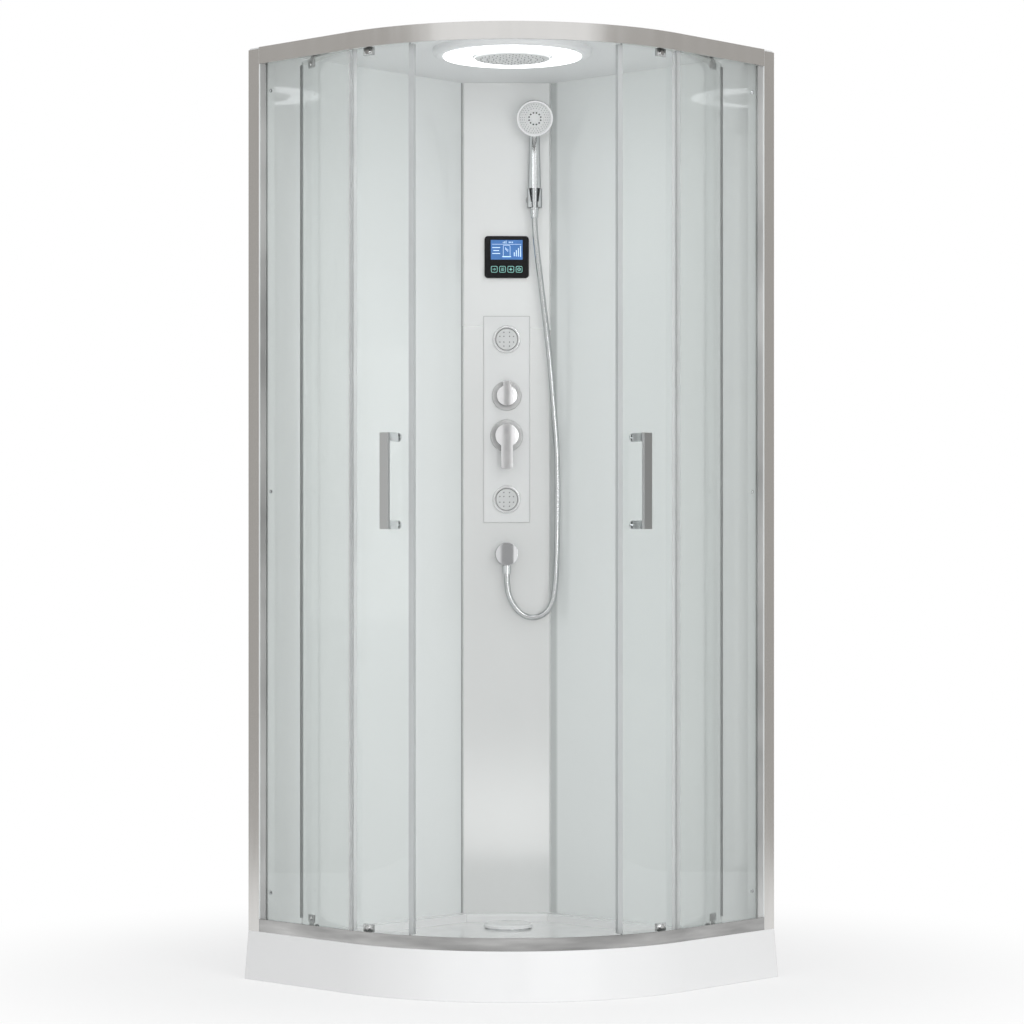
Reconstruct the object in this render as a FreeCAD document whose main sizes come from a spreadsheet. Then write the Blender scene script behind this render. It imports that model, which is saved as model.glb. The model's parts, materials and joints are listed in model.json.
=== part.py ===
import FreeCAD, Part
import math
import os
import types
import Sketcher

# Quadrant hydromassage shower cabin for a room corner, in millimetres.
# +Z is up, the doors face -Y and the room corner is at +Y. The origin lies on the floor,
# in the middle of the cabin's bounding box. Every piece is drawn open as in use:
# both curved doors stand half open.

SIZES = {
    # Plan and heights of the cabin.
    "flank_length": 350,
    "front_radius": 550,
    "cabin_height": 2215,
    "overrun": 20,
    "fit_gap": 0.3,
    # Shower tray and its front apron.
    "tray_underside": 66,
    "basin_floor": 9,
    "basin_depth": 20,
    "rim_rise": 19,
    "basin_margin": 40,
    "apron_flare": 12,
    "apron_wall": 4,
    "apron_gap": 1,
    # Drain: trap, flange and loose cover.
    "drain_distance": 280,
    "drain_hole_radius": 45,
    "drain_neck_wall": 4.5,
    "flange_radius": 56,
    "flange_thickness": 3,
    "cover_radius": 61,
    "cover_thickness": 9,
    "cover_dome": 3,
    "cover_skirt_radius": 37,
    "cover_skirt_wall": 3,
    "cover_skirt_depth": 2.6,
    "trap_radius": 54,
    "trap_floor_gap": 4.5,
    "trap_wall": 4,
    "spigot_radius": 20,
    "spigot_wall": 2,
    "spigot_length": 49,
    "spigot_collar": 3,
    "spigot_collar_length": 6,
    "spigot_angle": 45,
    # Steel frame and levelling feet under the tray.
    "frame_tube_width": 30,
    "frame_tube_height": 20,
    "frame_margin": 45,
    "frame_reach_share": 0.89,
    "frame_cross_share": 0.65,
    "foot_stud_radius": 6,
    "foot_pad_radius": 22,
    "foot_pad_height": 10,
    # Aluminium frame: posts, rails, screws.
    "frame_inset": 12,
    "post_width": 37,
    "post_depth": 53,
    "post_wall": 2,
    "rail_wall": 4,
    "top_rail_height": 40,
    "top_web": 4,
    "track_margin": 13,
    "track_wall": 3,
    "track_overlap": 2,
    "track_angle": 160,
    "bottom_rail_height": 30,
    "sill_plate": 3,
    "sill_depth": 49,
    "sill_lip_height": 6,
    "sill_lip_angle": 88,
    "channel_wall": 2,
    "channel_height": 12,
    "screw_head_radius": 4,
    "screw_head_height": 2.5,
    "screw_end_distance": 60,
    "screw_from_edge": 14,
    # Wall panels, column and roof.
    "wall_gap": 2,
    "panel_thickness": 6,
    "panel_tuck": 16,
    "column_depth": 130,
    "column_width": 217,
    "column_wall": 4,
    "roof_sheet": 4,
    "roof_gap": 0.2,
    # Fixed glass, gaskets and seals.
    "glass_thickness": 5,
    "glass_setback": 3,
    "glass_head_gap": 8,
    "gasket_width": 18,
    "gasket_grip": 10,
    "fixed_seal_wall": 2,
    "fixed_seal_grip": 6,
    "fixed_seal_nose": 6,
    "fixed_seal_lip_gap": 0.6,
    # Curved doors. Angles are counted at the arc's centre from the cabin's diagonal.
    "door_gap": 8,
    "door_glass_thickness": 5,
    "door_lead_angle": 26.6,
    "door_angle": 48,
    "door_foot_gap": 5,
    "door_head_tuck": 7,
    "lead_seal_width": 12,
    "lead_seal_depth": 12,
    "trail_seal_width": 11,
    "trail_seal_depth": 9,
    # Door handles.
    "handle_angle": 5.3,
    "handle_centre": 1178,
    "handle_length": 220,
    "handle_width": 22,
    "handle_thickness": 9,
    "handle_standoff": 43,
    "stub_height": 20,
    "stub_width": 14,
    "handle_bolt_radius": 4,
    "handle_cap_radius": 10,
    "handle_cap_thickness": 5,
    # Carriages and wheels of the doors.
    "front_carriage_angle": 14.5,
    "rear_carriage_angle": 40.9,
    "carriage_width": 28,
    "carriage_height": 18,
    "carriage_thickness": 7,
    "carriage_tuck": 3,
    "carriage_arm_width": 12,
    "carriage_arm_end": 5,
    "carriage_bolt_radius": 6,
    "wheel_radius": 9,
    "wheel_width": 6,
    "wheel_side_gap": 5.5,
    "wheel_headroom": 1.7,
    "axle_radius": 2,
    "axle_clearance": 0.05,
    "axle_overhang": 1.5,
    "axle_head": 1.5,
    # Ceiling lamp with the rain head in its middle.
    "lamp_distance": 660,
    "housing_radius": 189,
    "housing_depth": 17,
    "housing_edge": 10,
    "led_outer_radius": 164,
    "led_inner_radius": 98.5,
    "led_depth": 9,
    "led_proud": 2.5,
    "rain_head_radius": 90,
    "rain_head_depth": 7,
    "rain_edge": 3,
    # Control display.
    "display_width": 113,
    "display_height": 107,
    "display_thickness": 8,
    "display_corner": 9,
    "screen_width": 81,
    "screen_height": 50,
    "screen_thickness": 1.2,
    "screen_proud": 0.2,
    "screen_rise": 18.5,
    # Fittings plate and water jets.
    "plate_width": 115.6,
    "plate_thickness": 3,
    "plate_gap": 98,
    "plate_margin": 23,
    "jet_ring_radius": 35,
    "jet_ring_proud": 7,
    "jet_edge": 2.5,
    "jet_barrel_wall": 2.5,
    "jet_barrel_depth": 32,
    "jet_back_wall": 3,
    "jet_spigot_radius": 8,
    "jet_spigot_length": 12,
    "nozzle_radius": 28.3,
    "nozzle_front": 9,
    "nozzle_back": 14,
    "nozzle_hole_radius": 1.4,
    "nozzle_hole_depth": 3,
    "nozzle_outer_circle": 18.9,
    "nozzle_inner_circle": 10.3,
    # Diverter and mixer.
    "diverter_gap": 71,
    "diverter_plate_radius": 38,
    "diverter_plate_depth": 5,
    "diverter_radius": 26,
    "diverter_depth": 17,
    "diverter_tab_width": 22,
    "diverter_tab_reach": 37,
    "diverter_tab_proud": 5,
    "rosette_gap": 22.5,
    "mixer_plate_radius": 41.5,
    "mixer_plate_depth": 6,
    "mixer_edge": 2.5,
    "ball_radius": 26.5,
    "ball_clearance": 0.4,
    "lever_shell": 3.4,
    "lever_shell_angle": 68,
    "lever_width": 26,
    "lever_thickness": 9,
    "lever_reach": 85,
    "lever_gap": 42,
    "stem_radius": 9,
    "stem_clearance": 0.05,
    "stem_depth": 22,
    # Valve bodies and pipes behind the column.
    "valve_width": 62,
    "valve_depth": 44,
    "valve_height": 54,
    "pipe_radius": 7,
    "inlet_radius": 10.4,
    "inlet_length": 44,
    "inlet_offset": 19.5,
    "pipe_tail": 25,
    "pipe_offset": 48,
    "pipe_bend_radius": 14,
    "roof_pipe_rise": 14,
    # Hose outlet, handset and its holder.
    "outlet_gap": 52,
    "outlet_radius": 29,
    "outlet_depth": 44,
    "outlet_edge": 12,
    "outlet_shank_radius": 10,
    "outlet_shank_length": 26,
    "outlet_axis": 30,
    "outlet_spout_radius": 8,
    "hose_nut_radius": 10.5,
    "hose_nut_length": 21.2,
    "handset_offset": 69.5,
    "handset_axis": 45,
    "holder_gap": 68,
    "holder_height": 48,
    "holder_radius": 19,
    "holder_bore": 13.6,
    "holder_base_radius": 20,
    "holder_base_depth": 6,
    "holder_arm_radius": 9,
    "holder_slot": 15,
    "cone_top_radius": 13.2,
    "cone_bottom_radius": 10.5,
    "cone_length": 53,
    "handle_low_radius": 16,
    "handle_top_radius": 13,
    "handset_handle_length": 140,
    "head_drop": 101,
    "head_rise": 33.7,
    "head_radius": 46,
    "head_depth": 19,
    "head_back_radius": 24,
    "head_tilt_angle": 20,
    "head_lead": 33,
    "head_rim": 6,
    "head_face_radius": 40,
    "head_face_recess": 2,
    "head_face_thickness": 4,
    "neck_radius": 12,
    "neck_length": 46,
    "hose_radius": 7,
}

# Route of the hose as (across, out from the column, height) points chosen by eye.
HOSE_ROUTE = [
    (0, 30, 959.5),
    (0, 30, 926),
    (10, 31, 890),
    (34, 32, 857),
    (65, 33, 846),
    (97, 34, 856.5),
    (116, 35, 884),
    (123, 36, 926),
    (125.5, 37, 978),
    (127, 38, 1040),
    (128.5, 39, 1115),
    (128.5, 40, 1200),
    (126, 41, 1290),
    (118, 42, 1385),
    (110, 43, 1490),
    (98.5, 44, 1595),
    (86, 45, 1695),
    (75.5, 45, 1780),
    (69.5, 45, 1841),
    (69.5, 45, 1883),
]
ROUND_SHARE = 0.45

AXIS_X = FreeCAD.Vector(1, 0, 0)
AXIS_Z = FreeCAD.Vector(0, 0, 1)
FULL_TURN = 360
QUARTER_TURN = 90
SQUARE_TURN = 225

doc = FreeCAD.newDocument("ShowerCabin")
sheet = doc.addObject("Spreadsheet::Sheet", "Sizes")


class Measure:
    """A number together with the formula that ties it to the sheet."""

    def __init__(self, number, formula):
        self.number = number
        self.formula = formula

    def __add__(self, other):
        other = measured(other)
        return Measure(self.number + other.number, f"({self.formula} + {other.formula})")

    def __sub__(self, other):
        other = measured(other)
        return Measure(self.number - other.number, f"({self.formula} - {other.formula})")

    def __mul__(self, other):
        other = measured(other)
        return Measure(self.number * other.number, f"({self.formula} * {other.formula})")

    def __truediv__(self, other):
        other = measured(other)
        return Measure(self.number / other.number, f"({self.formula} / {other.formula})")

    def __neg__(self):
        return measured(0) - self

    def __radd__(self, other):
        return measured(other) + self

    def __rsub__(self, other):
        return measured(other) - self

    def __rmul__(self, other):
        return measured(other) * self


def measured(value):
    """Give a plain number the form of a measure."""
    if isinstance(value, Measure):
        return value
    return Measure(float(value), str(value))


def sine(angle):
    """Sine of an angle in degrees."""
    return Measure(math.sin(math.radians(angle.number)), f"sin({angle.formula})")


def cosine(angle):
    """Cosine of an angle in degrees."""
    return Measure(math.cos(math.radians(angle.number)), f"cos({angle.formula})")


def root(value):
    """Square root of a measure."""
    value = measured(value)
    return Measure(math.sqrt(value.number), f"sqrt({value.formula})")


def chord_half(radius, offset):
    """Half width of a circle at a distance from its centre."""
    return root(radius * radius - offset * offset)


def write_sheet():
    """Put every size into the sheet and return them as measures by name."""
    for row, (name, number) in enumerate(SIZES.items(), start=1):
        sheet.set(f"A{row}", name)
        sheet.set(f"B{row}", str(number))
        sheet.setAlias(f"B{row}", name)
    doc.recompute()
    pairs = {name: Measure(float(number), f"Sizes.{name}") for name, number in SIZES.items()}
    return types.SimpleNamespace(**pairs)


d = write_sheet()
DIAGONAL = Measure(math.sqrt(2), "sqrt(2)")
DEGREES = Measure(math.degrees(1), "(180 / pi)")


def bind(item, path, value):
    """Tie one property of an object to a measure."""
    item.setExpression(path, measured(value).formula)


def place(item, x=0, y=0, z=0, axis=AXIS_Z, turn=0):
    """Set an object's place; a turn that is a measure stays tied to the sheet."""
    turn = measured(turn)
    item.Placement = FreeCAD.Placement(FreeCAD.Vector(), FreeCAD.Rotation(axis, turn.number))
    for letter, value in zip("xyz", (x, y, z)):
        bind(item, f"Placement.Base.{letter}", value)
    if "Sizes" in turn.formula:
        bind(item, "Placement.Rotation.Angle", turn)
    return item


def new_body(name):
    """Start a body."""
    return doc.addObject("PartDesign::Body", name)


def new_sketch(body, name, role, offset=0):
    """Sketch on one of the body's origin planes, moved along its normal."""
    sketch = body.newObject("Sketcher::SketchObject", name)
    plane = next(item for item in body.Origin.OriginFeatures if item.Role == role)
    sketch.AttachmentSupport = [(plane, "")]
    sketch.MapMode = "FlatFace"
    bind(sketch, "AttachmentOffset.Base.z", offset)
    return sketch


def add_constraint(sketch, kind, geometry, point, value):
    """Add one dimension to a sketch and tie it to its measure."""
    value = measured(value)
    if kind == "Radius":
        index = sketch.addConstraint(Sketcher.Constraint(kind, geometry, value.number))
    else:
        index = sketch.addConstraint(Sketcher.Constraint(kind, geometry, point, value.number))
    bind(sketch, f"Constraints[{index}]", value)


def draw_circle(sketch, x, y, radius):
    """Circle with its centre and radius tied to measures."""
    x, y, radius = measured(x), measured(y), measured(radius)
    centre = FreeCAD.Vector(x.number, y.number, 0)
    index = sketch.addGeometry(Part.Circle(centre, AXIS_Z, radius.number))
    add_constraint(sketch, "DistanceX", index, 3, x)
    add_constraint(sketch, "DistanceY", index, 3, y)
    add_constraint(sketch, "Radius", index, 0, radius)


def arc_between(start, end, radius):
    """Minor arc; a positive radius turns left on the way, a negative one right."""
    chord = end - start
    left = FreeCAD.Vector(-chord.y, chord.x, 0).normalize()
    rise = math.sqrt(max(radius * radius - chord.Length * chord.Length / 4, 0))
    centre = (start + end) * 0.5 + left * math.copysign(rise, radius)
    first, last = (start, end) if radius > 0 else (end, start)
    angles = [math.atan2(point.y - centre.y, point.x - centre.x) for point in (first, last)]
    if angles[1] < angles[0]:
        angles[1] += 2 * math.pi
    circle = Part.Circle(centre, AXIS_Z, abs(radius))
    return Part.ArcOfCircle(circle, angles[0], angles[1])


def draw_loop(sketch, points):
    """Closed outline; a third value in a point makes the edge that leaves it an arc."""
    spots = [(measured(point[0]), measured(point[1])) for point in points]
    vectors = [FreeCAD.Vector(x.number, y.number, 0) for x, y in spots]
    ends = []
    for index, point in enumerate(points):
        start = vectors[index]
        end = vectors[(index + 1) % len(points)]
        radius = measured(point[2]).number if len(point) > 2 else 0
        edge = arc_between(start, end, radius) if radius else Part.LineSegment(start, end)
        geometry = sketch.addGeometry(edge)
        ends.append((geometry, 2, 1) if radius < 0 else (geometry, 1, 2))
    for index, (geometry, _, last) in enumerate(ends):
        following, first, _ = ends[(index + 1) % len(ends)]
        sketch.addConstraint(Sketcher.Constraint("Coincident", geometry, last, following, first))
    for (geometry, first, _), (x, y), point in zip(ends, spots, points):
        add_constraint(sketch, "DistanceX", geometry, first, x)
        add_constraint(sketch, "DistanceY", geometry, first, y)
        if len(point) > 2:
            radius = measured(point[2])
            add_constraint(sketch, "Radius", geometry, 0, radius if radius.number > 0 else -radius)


def extrude(body, sketch, length, cut=False):
    """Pad or pocket a sketch along its plane's normal."""
    kind = "PartDesign::Pocket" if cut else "PartDesign::Pad"
    feature = body.newObject(kind, sketch.Name + "_extent")
    feature.Profile = sketch
    feature.Reversed = cut
    bind(feature, "Length", length)
    return feature


def prism(name, loops, low, high, circles=(), role="XY_Plane"):
    """Straight body between two levels; inner loops and circles are openings."""
    body = new_body(name)
    sketch = new_sketch(body, name + "_outline", role, low)
    for loop in loops:
        draw_loop(sketch, loop)
    for x, y, radius in circles:
        draw_circle(sketch, x, y, radius)
    extrude(body, sketch, measured(high) - low)
    return body


def rectangle(x_low, x_high, y_low, y_high):
    """Corners of a rectangle, counter-clockwise."""
    return [(x_low, y_low), (x_high, y_low), (x_high, y_high), (x_low, y_high)]


def cut_prism(body, name, loop, low, high, circles=()):
    """Pocket through a body between two levels."""
    sketch = new_sketch(body, name + "_outline", "XY_Plane", low)
    if loop:
        draw_loop(sketch, loop)
    for x, y, radius in circles:
        draw_circle(sketch, x, y, radius)
    return extrude(body, sketch, measured(high) - low, cut=True)


def turned(name, points):
    """Full turn of a (radius, height) profile about the body's Z axis."""
    body = new_body(name)
    sketch = new_sketch(body, name + "_profile", "XZ_Plane")
    draw_loop(sketch, points)
    turn = body.newObject("PartDesign::Revolution", name + "_turn")
    turn.Profile = sketch
    turn.ReferenceAxis = (sketch, ["V_Axis"])
    return body


def sector(name, r_low, r_high, z_low, z_high, middle, sweep):
    """Part of a ring about the arc's centre; the middle is an angle from the diagonal."""
    body = new_body(name)
    sketch = new_sketch(body, name + "_section", "YZ_Plane")
    draw_loop(sketch, rectangle(-measured(r_high), -measured(r_low), z_low, z_high))
    turn = body.newObject("PartDesign::Revolution", name + "_turn")
    turn.Profile = sketch
    turn.ReferenceAxis = (sketch, ["V_Axis"])
    turn.Midplane = True
    bind(turn, "Angle", sweep)
    return place(body, 0, arc_y, 0, AXIS_Z, middle)


def on_arc(body, angle):
    """Place a body, drawn in front of the arc's centre, at an angle from the diagonal."""
    return place(body, 0, arc_y, 0, AXIS_Z, angle)


def in_square(body):
    """Place a body drawn with its X and Y axes along the two walls."""
    return place(body, 0, half_depth, 0, AXIS_Z, SQUARE_TURN)


def on_column(body, height, across=0):
    """Place a body, drawn with its Z axis out of the wall, on the column's face."""
    return place(body, across, column_face, height, AXIS_X, QUARTER_TURN)


def facing(body, height, across=0):
    """Place a body, drawn with -Y out of the wall, on the column's face."""
    return place(body, across, column_face, height)


def combine(kind, name, items):
    """Fuse, or group as separate solids, several objects."""
    item = doc.addObject(kind, name)
    setattr(item, "Shapes" if kind == "Part::MultiFuse" else "Links", items)
    return item


def fuse(name, *items):
    """One solid from overlapping or touching objects."""
    return combine("Part::MultiFuse", name, list(items))


def group(name, *items):
    """Separate solids under one name."""
    return combine("Part::Compound", name, list(items))


def cut(name, base, *tools):
    """Cut tools from a base object."""
    item = doc.addObject("Part::Cut", name)
    item.Base = base
    item.Tool = tools[0] if len(tools) == 1 else group(name + "_cuts", *tools)
    return item


def mirrored(name, source):
    """The same piece on the other side of the diagonal."""
    item = doc.addObject("Part::Mirroring", name)
    item.Source = source
    item.Normal = AXIS_X
    return item


nodes = {}


def node(name, item):
    """Name an object as a sub-part."""
    item.Label = name
    nodes[name] = item
    return item


def node_pair(name, right_item):
    """Name a right-hand sub-part and its mirror image on the left."""
    node("right_" + name, right_item)
    node("left_" + name, mirrored("left_" + name, right_item))


# Levels, radii and distances that several pieces share.
flank = d.flank_length
tray_side = flank + d.front_radius
half_depth = (flank * DIAGONAL + d.front_radius) / 2
arc_y = half_depth - flank * DIAGONAL
roof_under = d.cabin_height - d.roof_sheet
rail_bottom = d.cabin_height - d.top_rail_height
basin_level = d.tray_underside + d.basin_floor
ledge_level = basin_level + d.basin_depth
tray_height = ledge_level + d.rim_rise
sill_top = tray_height + d.sill_plate
sill_wall_top = tray_height + d.bottom_rail_height
rim_width = d.frame_inset + d.post_depth
rail_back = d.frame_inset + d.rail_wall
fixed_front = rail_back + d.glass_setback
fixed_back = fixed_front + d.glass_thickness
door_radius = d.front_radius - fixed_back - d.door_gap
door_back = door_radius - d.door_glass_thickness
column_face = half_depth - d.column_depth
panel_face = d.wall_gap + d.panel_thickness
drain_y = half_depth - d.drain_distance
lamp_y = half_depth - d.lamp_distance
block_back = door_back - d.fit_gap
block_front = block_back - d.carriage_thickness
wheel_high = block_front - d.wheel_side_gap
wheel_low = wheel_high - d.wheel_width
web_under = roof_under - d.top_web
track_top = web_under - d.wheel_headroom - 2 * d.wheel_radius - d.fit_gap
top_axle = track_top + d.fit_gap + d.wheel_radius
bottom_axle = sill_top + d.fit_gap + d.wheel_radius
lead_sweep = d.lead_seal_width / door_radius * DEGREES
trail_sweep = d.trail_seal_width / door_radius * DEGREES
door_bottom = sill_top + d.door_foot_gap
door_top = rail_bottom + d.door_head_tuck
barrel_radius = d.nozzle_radius + d.ball_clearance

# Heights of the fittings on the column, from the roof down.
head_height = roof_under - d.head_drop
handle_top = head_height - d.head_rise
holder_top = handle_top - d.handset_handle_length - d.fit_gap
display_centre = holder_top - d.holder_height - d.holder_gap - d.display_height / 2
plate_top = display_centre - d.display_height / 2 - d.plate_gap
upper_jet_height = plate_top - d.plate_margin - d.jet_ring_radius
diverter_height = upper_jet_height - d.jet_ring_radius - d.diverter_gap - d.diverter_plate_radius
mixer_height = diverter_height - d.diverter_plate_radius - d.rosette_gap - d.mixer_plate_radius
lower_jet_height = mixer_height - d.lever_reach - d.lever_gap - d.jet_ring_radius
plate_low = lower_jet_height - d.jet_ring_radius - d.plate_margin
outlet_height = plate_low - d.outlet_gap - d.outlet_radius


def quadrant(inset, start):
    """Plan outline of the cabin's front, in from the apron's foot, drawn along the walls."""
    far = tray_side - inset
    radius = d.front_radius - inset
    return [(start, start), (far, start), (far, flank, radius), (flank, far), (start, far)]


def build_tray():
    """Acrylic tray with a raised front rim, a ledge for the walls and a basin."""
    tray = prism("tray", [quadrant(d.apron_flare + d.apron_wall + d.apron_gap, 0)],
                 d.tray_underside, tray_height)
    ledge = quadrant(rim_width, -d.overrun)
    cut_prism(tray, "tray_ledge", ledge, ledge_level, tray_height + d.overrun)
    basin = quadrant(rim_width + d.basin_margin, d.basin_margin)
    cut_prism(tray, "tray_basin", basin, basin_level, tray_height)
    drain_place = d.drain_distance / DIAGONAL
    hole = [(drain_place, drain_place, d.drain_hole_radius)]
    cut_prism(tray, "tray_drain", None, 0, basin_level + d.overrun, hole)
    node("tray", in_square(tray))


def build_apron():
    """Front skirt that flares out towards the floor."""
    apron = new_body("apron")
    for name, kind, inset, start in (
        ("apron_skin", "PartDesign::AdditiveLoft", 0, 0),
        ("apron_hollow", "PartDesign::SubtractiveLoft", d.apron_wall, -d.overrun),
    ):
        foot = new_sketch(apron, name + "_foot", "XY_Plane", 0)
        draw_loop(foot, quadrant(measured(inset), start))
        top = new_sketch(apron, name + "_top", "XY_Plane", tray_height)
        draw_loop(top, quadrant(d.apron_flare + inset, start))
        loft = apron.newObject(kind, name + "_loft")
        loft.Profile = foot
        loft.Sections = [top]
        loft.Ruled = True
    node("apron", in_square(apron))


def build_underframe():
    """Welded tube frame and screw feet that carry the tray."""
    low = d.tray_underside - d.frame_tube_height
    near = d.frame_margin
    reach = tray_side * d.frame_reach_share
    cross = tray_side * d.frame_cross_share
    near_high = near + d.frame_tube_width
    cross_high = cross + d.frame_tube_width
    frame = [(near, near), (reach, near), (reach, near_high), (cross_high, near_high),
             (cross_high, cross_high), (near_high, cross_high), (near_high, reach), (near, reach)]
    window = rectangle(near_high, cross, near_high, cross)
    tubes = prism("tray_frame", [frame, window], low, d.tray_underside)
    node("tray_frame", in_square(tubes))
    middle = near + d.frame_tube_width / 2
    cross_middle = cross + d.frame_tube_width / 2
    end = reach - d.foot_pad_radius
    feet = []
    for x, y in ((middle, middle), (end, middle), (middle, end), (cross_middle, cross_middle)):
        number = len(feet) + 1
        foot = turned(f"foot_{number}", [
            (0, 0), (d.foot_pad_radius, 0), (d.foot_pad_radius, d.foot_pad_height),
            (d.foot_stud_radius, d.foot_pad_height), (d.foot_stud_radius, low), (0, low)])
        feet.append(place(foot, (y - x) / DIAGONAL, half_depth - (x + y) / DIAGONAL, 0))
    node("levelling_feet", group("levelling_feet", *feet))


def build_drain():
    """Waste trap with its spigot, flange on the tray's floor and lift-off cover."""
    neck = d.drain_hole_radius - d.fit_gap
    bore = neck - d.drain_neck_wall
    cup = turned("trap_cup", [
        (0, d.trap_floor_gap), (d.trap_radius, d.trap_floor_gap), (d.trap_radius, d.tray_underside),
        (neck, d.tray_underside), (neck, basin_level), (bore, basin_level),
        (bore, d.trap_floor_gap + d.trap_wall), (0, d.trap_floor_gap + d.trap_wall)])
    place(cup, 0, drain_y, 0)
    level = d.trap_floor_gap + d.spigot_radius
    collar_end = d.trap_radius + d.spigot_collar_length
    spout_end = collar_end + d.spigot_length
    room = d.spigot_radius - d.spigot_wall
    collar = prism("trap_collar", [], -collar_end, -bore,
                   [(0, level, d.spigot_radius + d.spigot_collar)], "XZ_Plane")
    spout = prism("trap_spout", [], -spout_end, -collar_end,
                  [(0, level, d.spigot_radius)], "XZ_Plane")
    channel = prism("trap_channel", [], -spout_end - d.overrun, -chord_half(bore, room),
                    [(0, level, room)], "XZ_Plane")
    for item in (collar, spout, channel):
        place(item, 0, drain_y, 0, AXIS_Z, -d.spigot_angle)
    node("drain_trap", cut("drain_trap", fuse("trap_whole", cup, collar, spout), channel))
    flange_top = basin_level + d.flange_thickness
    flange = turned("drain_flange", [
        (bore, basin_level), (d.flange_radius, basin_level), (d.flange_radius, flange_top),
        (bore, flange_top)])
    node("drain_flange", place(flange, 0, drain_y, 0))
    low = flange_top + d.fit_gap
    high = low + d.cover_thickness
    skirt = low - d.cover_skirt_depth
    skirt_bore = d.cover_skirt_radius - d.cover_skirt_wall
    cover = turned("drain_cover", [
        (0, low), (skirt_bore, low), (skirt_bore, skirt), (d.cover_skirt_radius, skirt),
        (d.cover_skirt_radius, low), (d.cover_radius, low), (d.cover_radius, high - d.cover_dome),
        (d.cover_radius - d.cover_dome, high), (0, high)])
    node("drain_cover", place(cover, 0, drain_y, 0))


def build_walls():
    """Two glossy wall panels and the column that closes the corner between them."""
    half = d.column_width / 2
    edge_far = (d.column_depth + half) / DIAGONAL
    edge_near = (d.column_depth - half) / DIAGONAL
    post_side = tray_side - rim_width
    panel = prism("right_wall_panel",
                  [rectangle(d.wall_gap, panel_face, edge_far - d.panel_tuck, post_side)],
                  ledge_level, roof_under)
    node_pair("wall_panel", in_square(panel))
    inner_far = edge_far - d.column_wall
    inner_near = (d.column_depth - d.column_wall) * DIAGONAL - inner_far
    shell = prism("column_shell", [[
        (edge_far, panel_face), (edge_far, edge_near), (edge_near, edge_far),
        (panel_face, edge_far), (panel_face, inner_far), (inner_near, inner_far),
        (inner_far, inner_near), (inner_far, panel_face)]], ledge_level, roof_under)
    in_square(shell)
    holes = [(0, upper_jet_height, barrel_radius + d.jet_barrel_wall + d.fit_gap),
             (0, lower_jet_height, barrel_radius + d.jet_barrel_wall + d.fit_gap),
             (0, diverter_height, d.stem_radius + d.fit_gap),
             (0, mixer_height, d.stem_radius + d.fit_gap),
             (0, outlet_height, d.outlet_shank_radius + d.fit_gap)]
    drill = prism("column_holes", [], -d.overrun, d.overrun, holes, "XZ_Plane")
    place(drill, 0, column_face, 0)
    node("column_panel", cut("column_panel", shell, drill))
    return holes


def build_roof(riser):
    """Flat roof sheet with a hole for the pipe to the rain head and one for the riser."""
    inset = rail_back + d.roof_gap
    sheet_body = prism("roof_sheet_body", [quadrant(inset, 0)], roof_under, d.cabin_height)
    in_square(sheet_body)
    hole = d.pipe_radius + d.fit_gap
    drill = prism("roof_holes", [], roof_under - d.overrun, d.cabin_height + d.overrun,
                  [(0, lamp_y, hole), (*riser, hole)])
    node("roof_panel", cut("roof_panel", sheet_body, drill))


def build_posts():
    """Hollow posts at the ends of the walls, with the dark gaskets that hold the fixed glass."""
    near = tray_side - rim_width
    far = tray_side - d.frame_inset
    post = prism("right_post", [
        rectangle(0, d.post_width, near, far),
        rectangle(d.post_wall, d.post_width - d.post_wall, near + d.post_wall, far - d.post_wall)],
        tray_height, roof_under)
    node_pair("post", in_square(post))
    glass_low = tray_side - fixed_back
    glass_high = tray_side - fixed_front
    start = d.post_width
    end = start + d.gasket_width
    slot = end - d.gasket_grip
    gasket = prism("right_gasket", [[
        (start, glass_low - d.glass_setback), (end, glass_low - d.glass_setback), (end, glass_low),
        (slot, glass_low), (slot, glass_high), (end, glass_high),
        (end, glass_high + d.glass_setback), (start, glass_high + d.glass_setback)]],
        sill_top, web_under)
    in_square(gasket)
    node("post_gaskets", group("post_gaskets", gasket, mirrored("left_gasket", gasket)))
    screws = []
    spot = near + d.screw_from_edge
    levels = (sill_wall_top + d.screw_end_distance, (sill_wall_top + rail_bottom) / 2,
              rail_bottom - d.screw_end_distance)
    for number, level in enumerate(levels, start=1):
        head = turned(f"right_screw_{number}", rectangle(
            0, d.screw_head_radius, 0, d.screw_head_height))
        # The head lies on the post's inner face, turned to point away from the wall.
        place(head, (spot - start) / DIAGONAL, half_depth - (spot + start) / DIAGONAL, level)
        normal = FreeCAD.Vector(-1, -1, 0)
        head.Placement.Rotation = FreeCAD.Rotation(AXIS_Z, normal)
        screws.append(head)
        screws.append(mirrored(f"left_screw_{number}", head))
    node("frame_screws", group("frame_screws", *screws))


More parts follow.
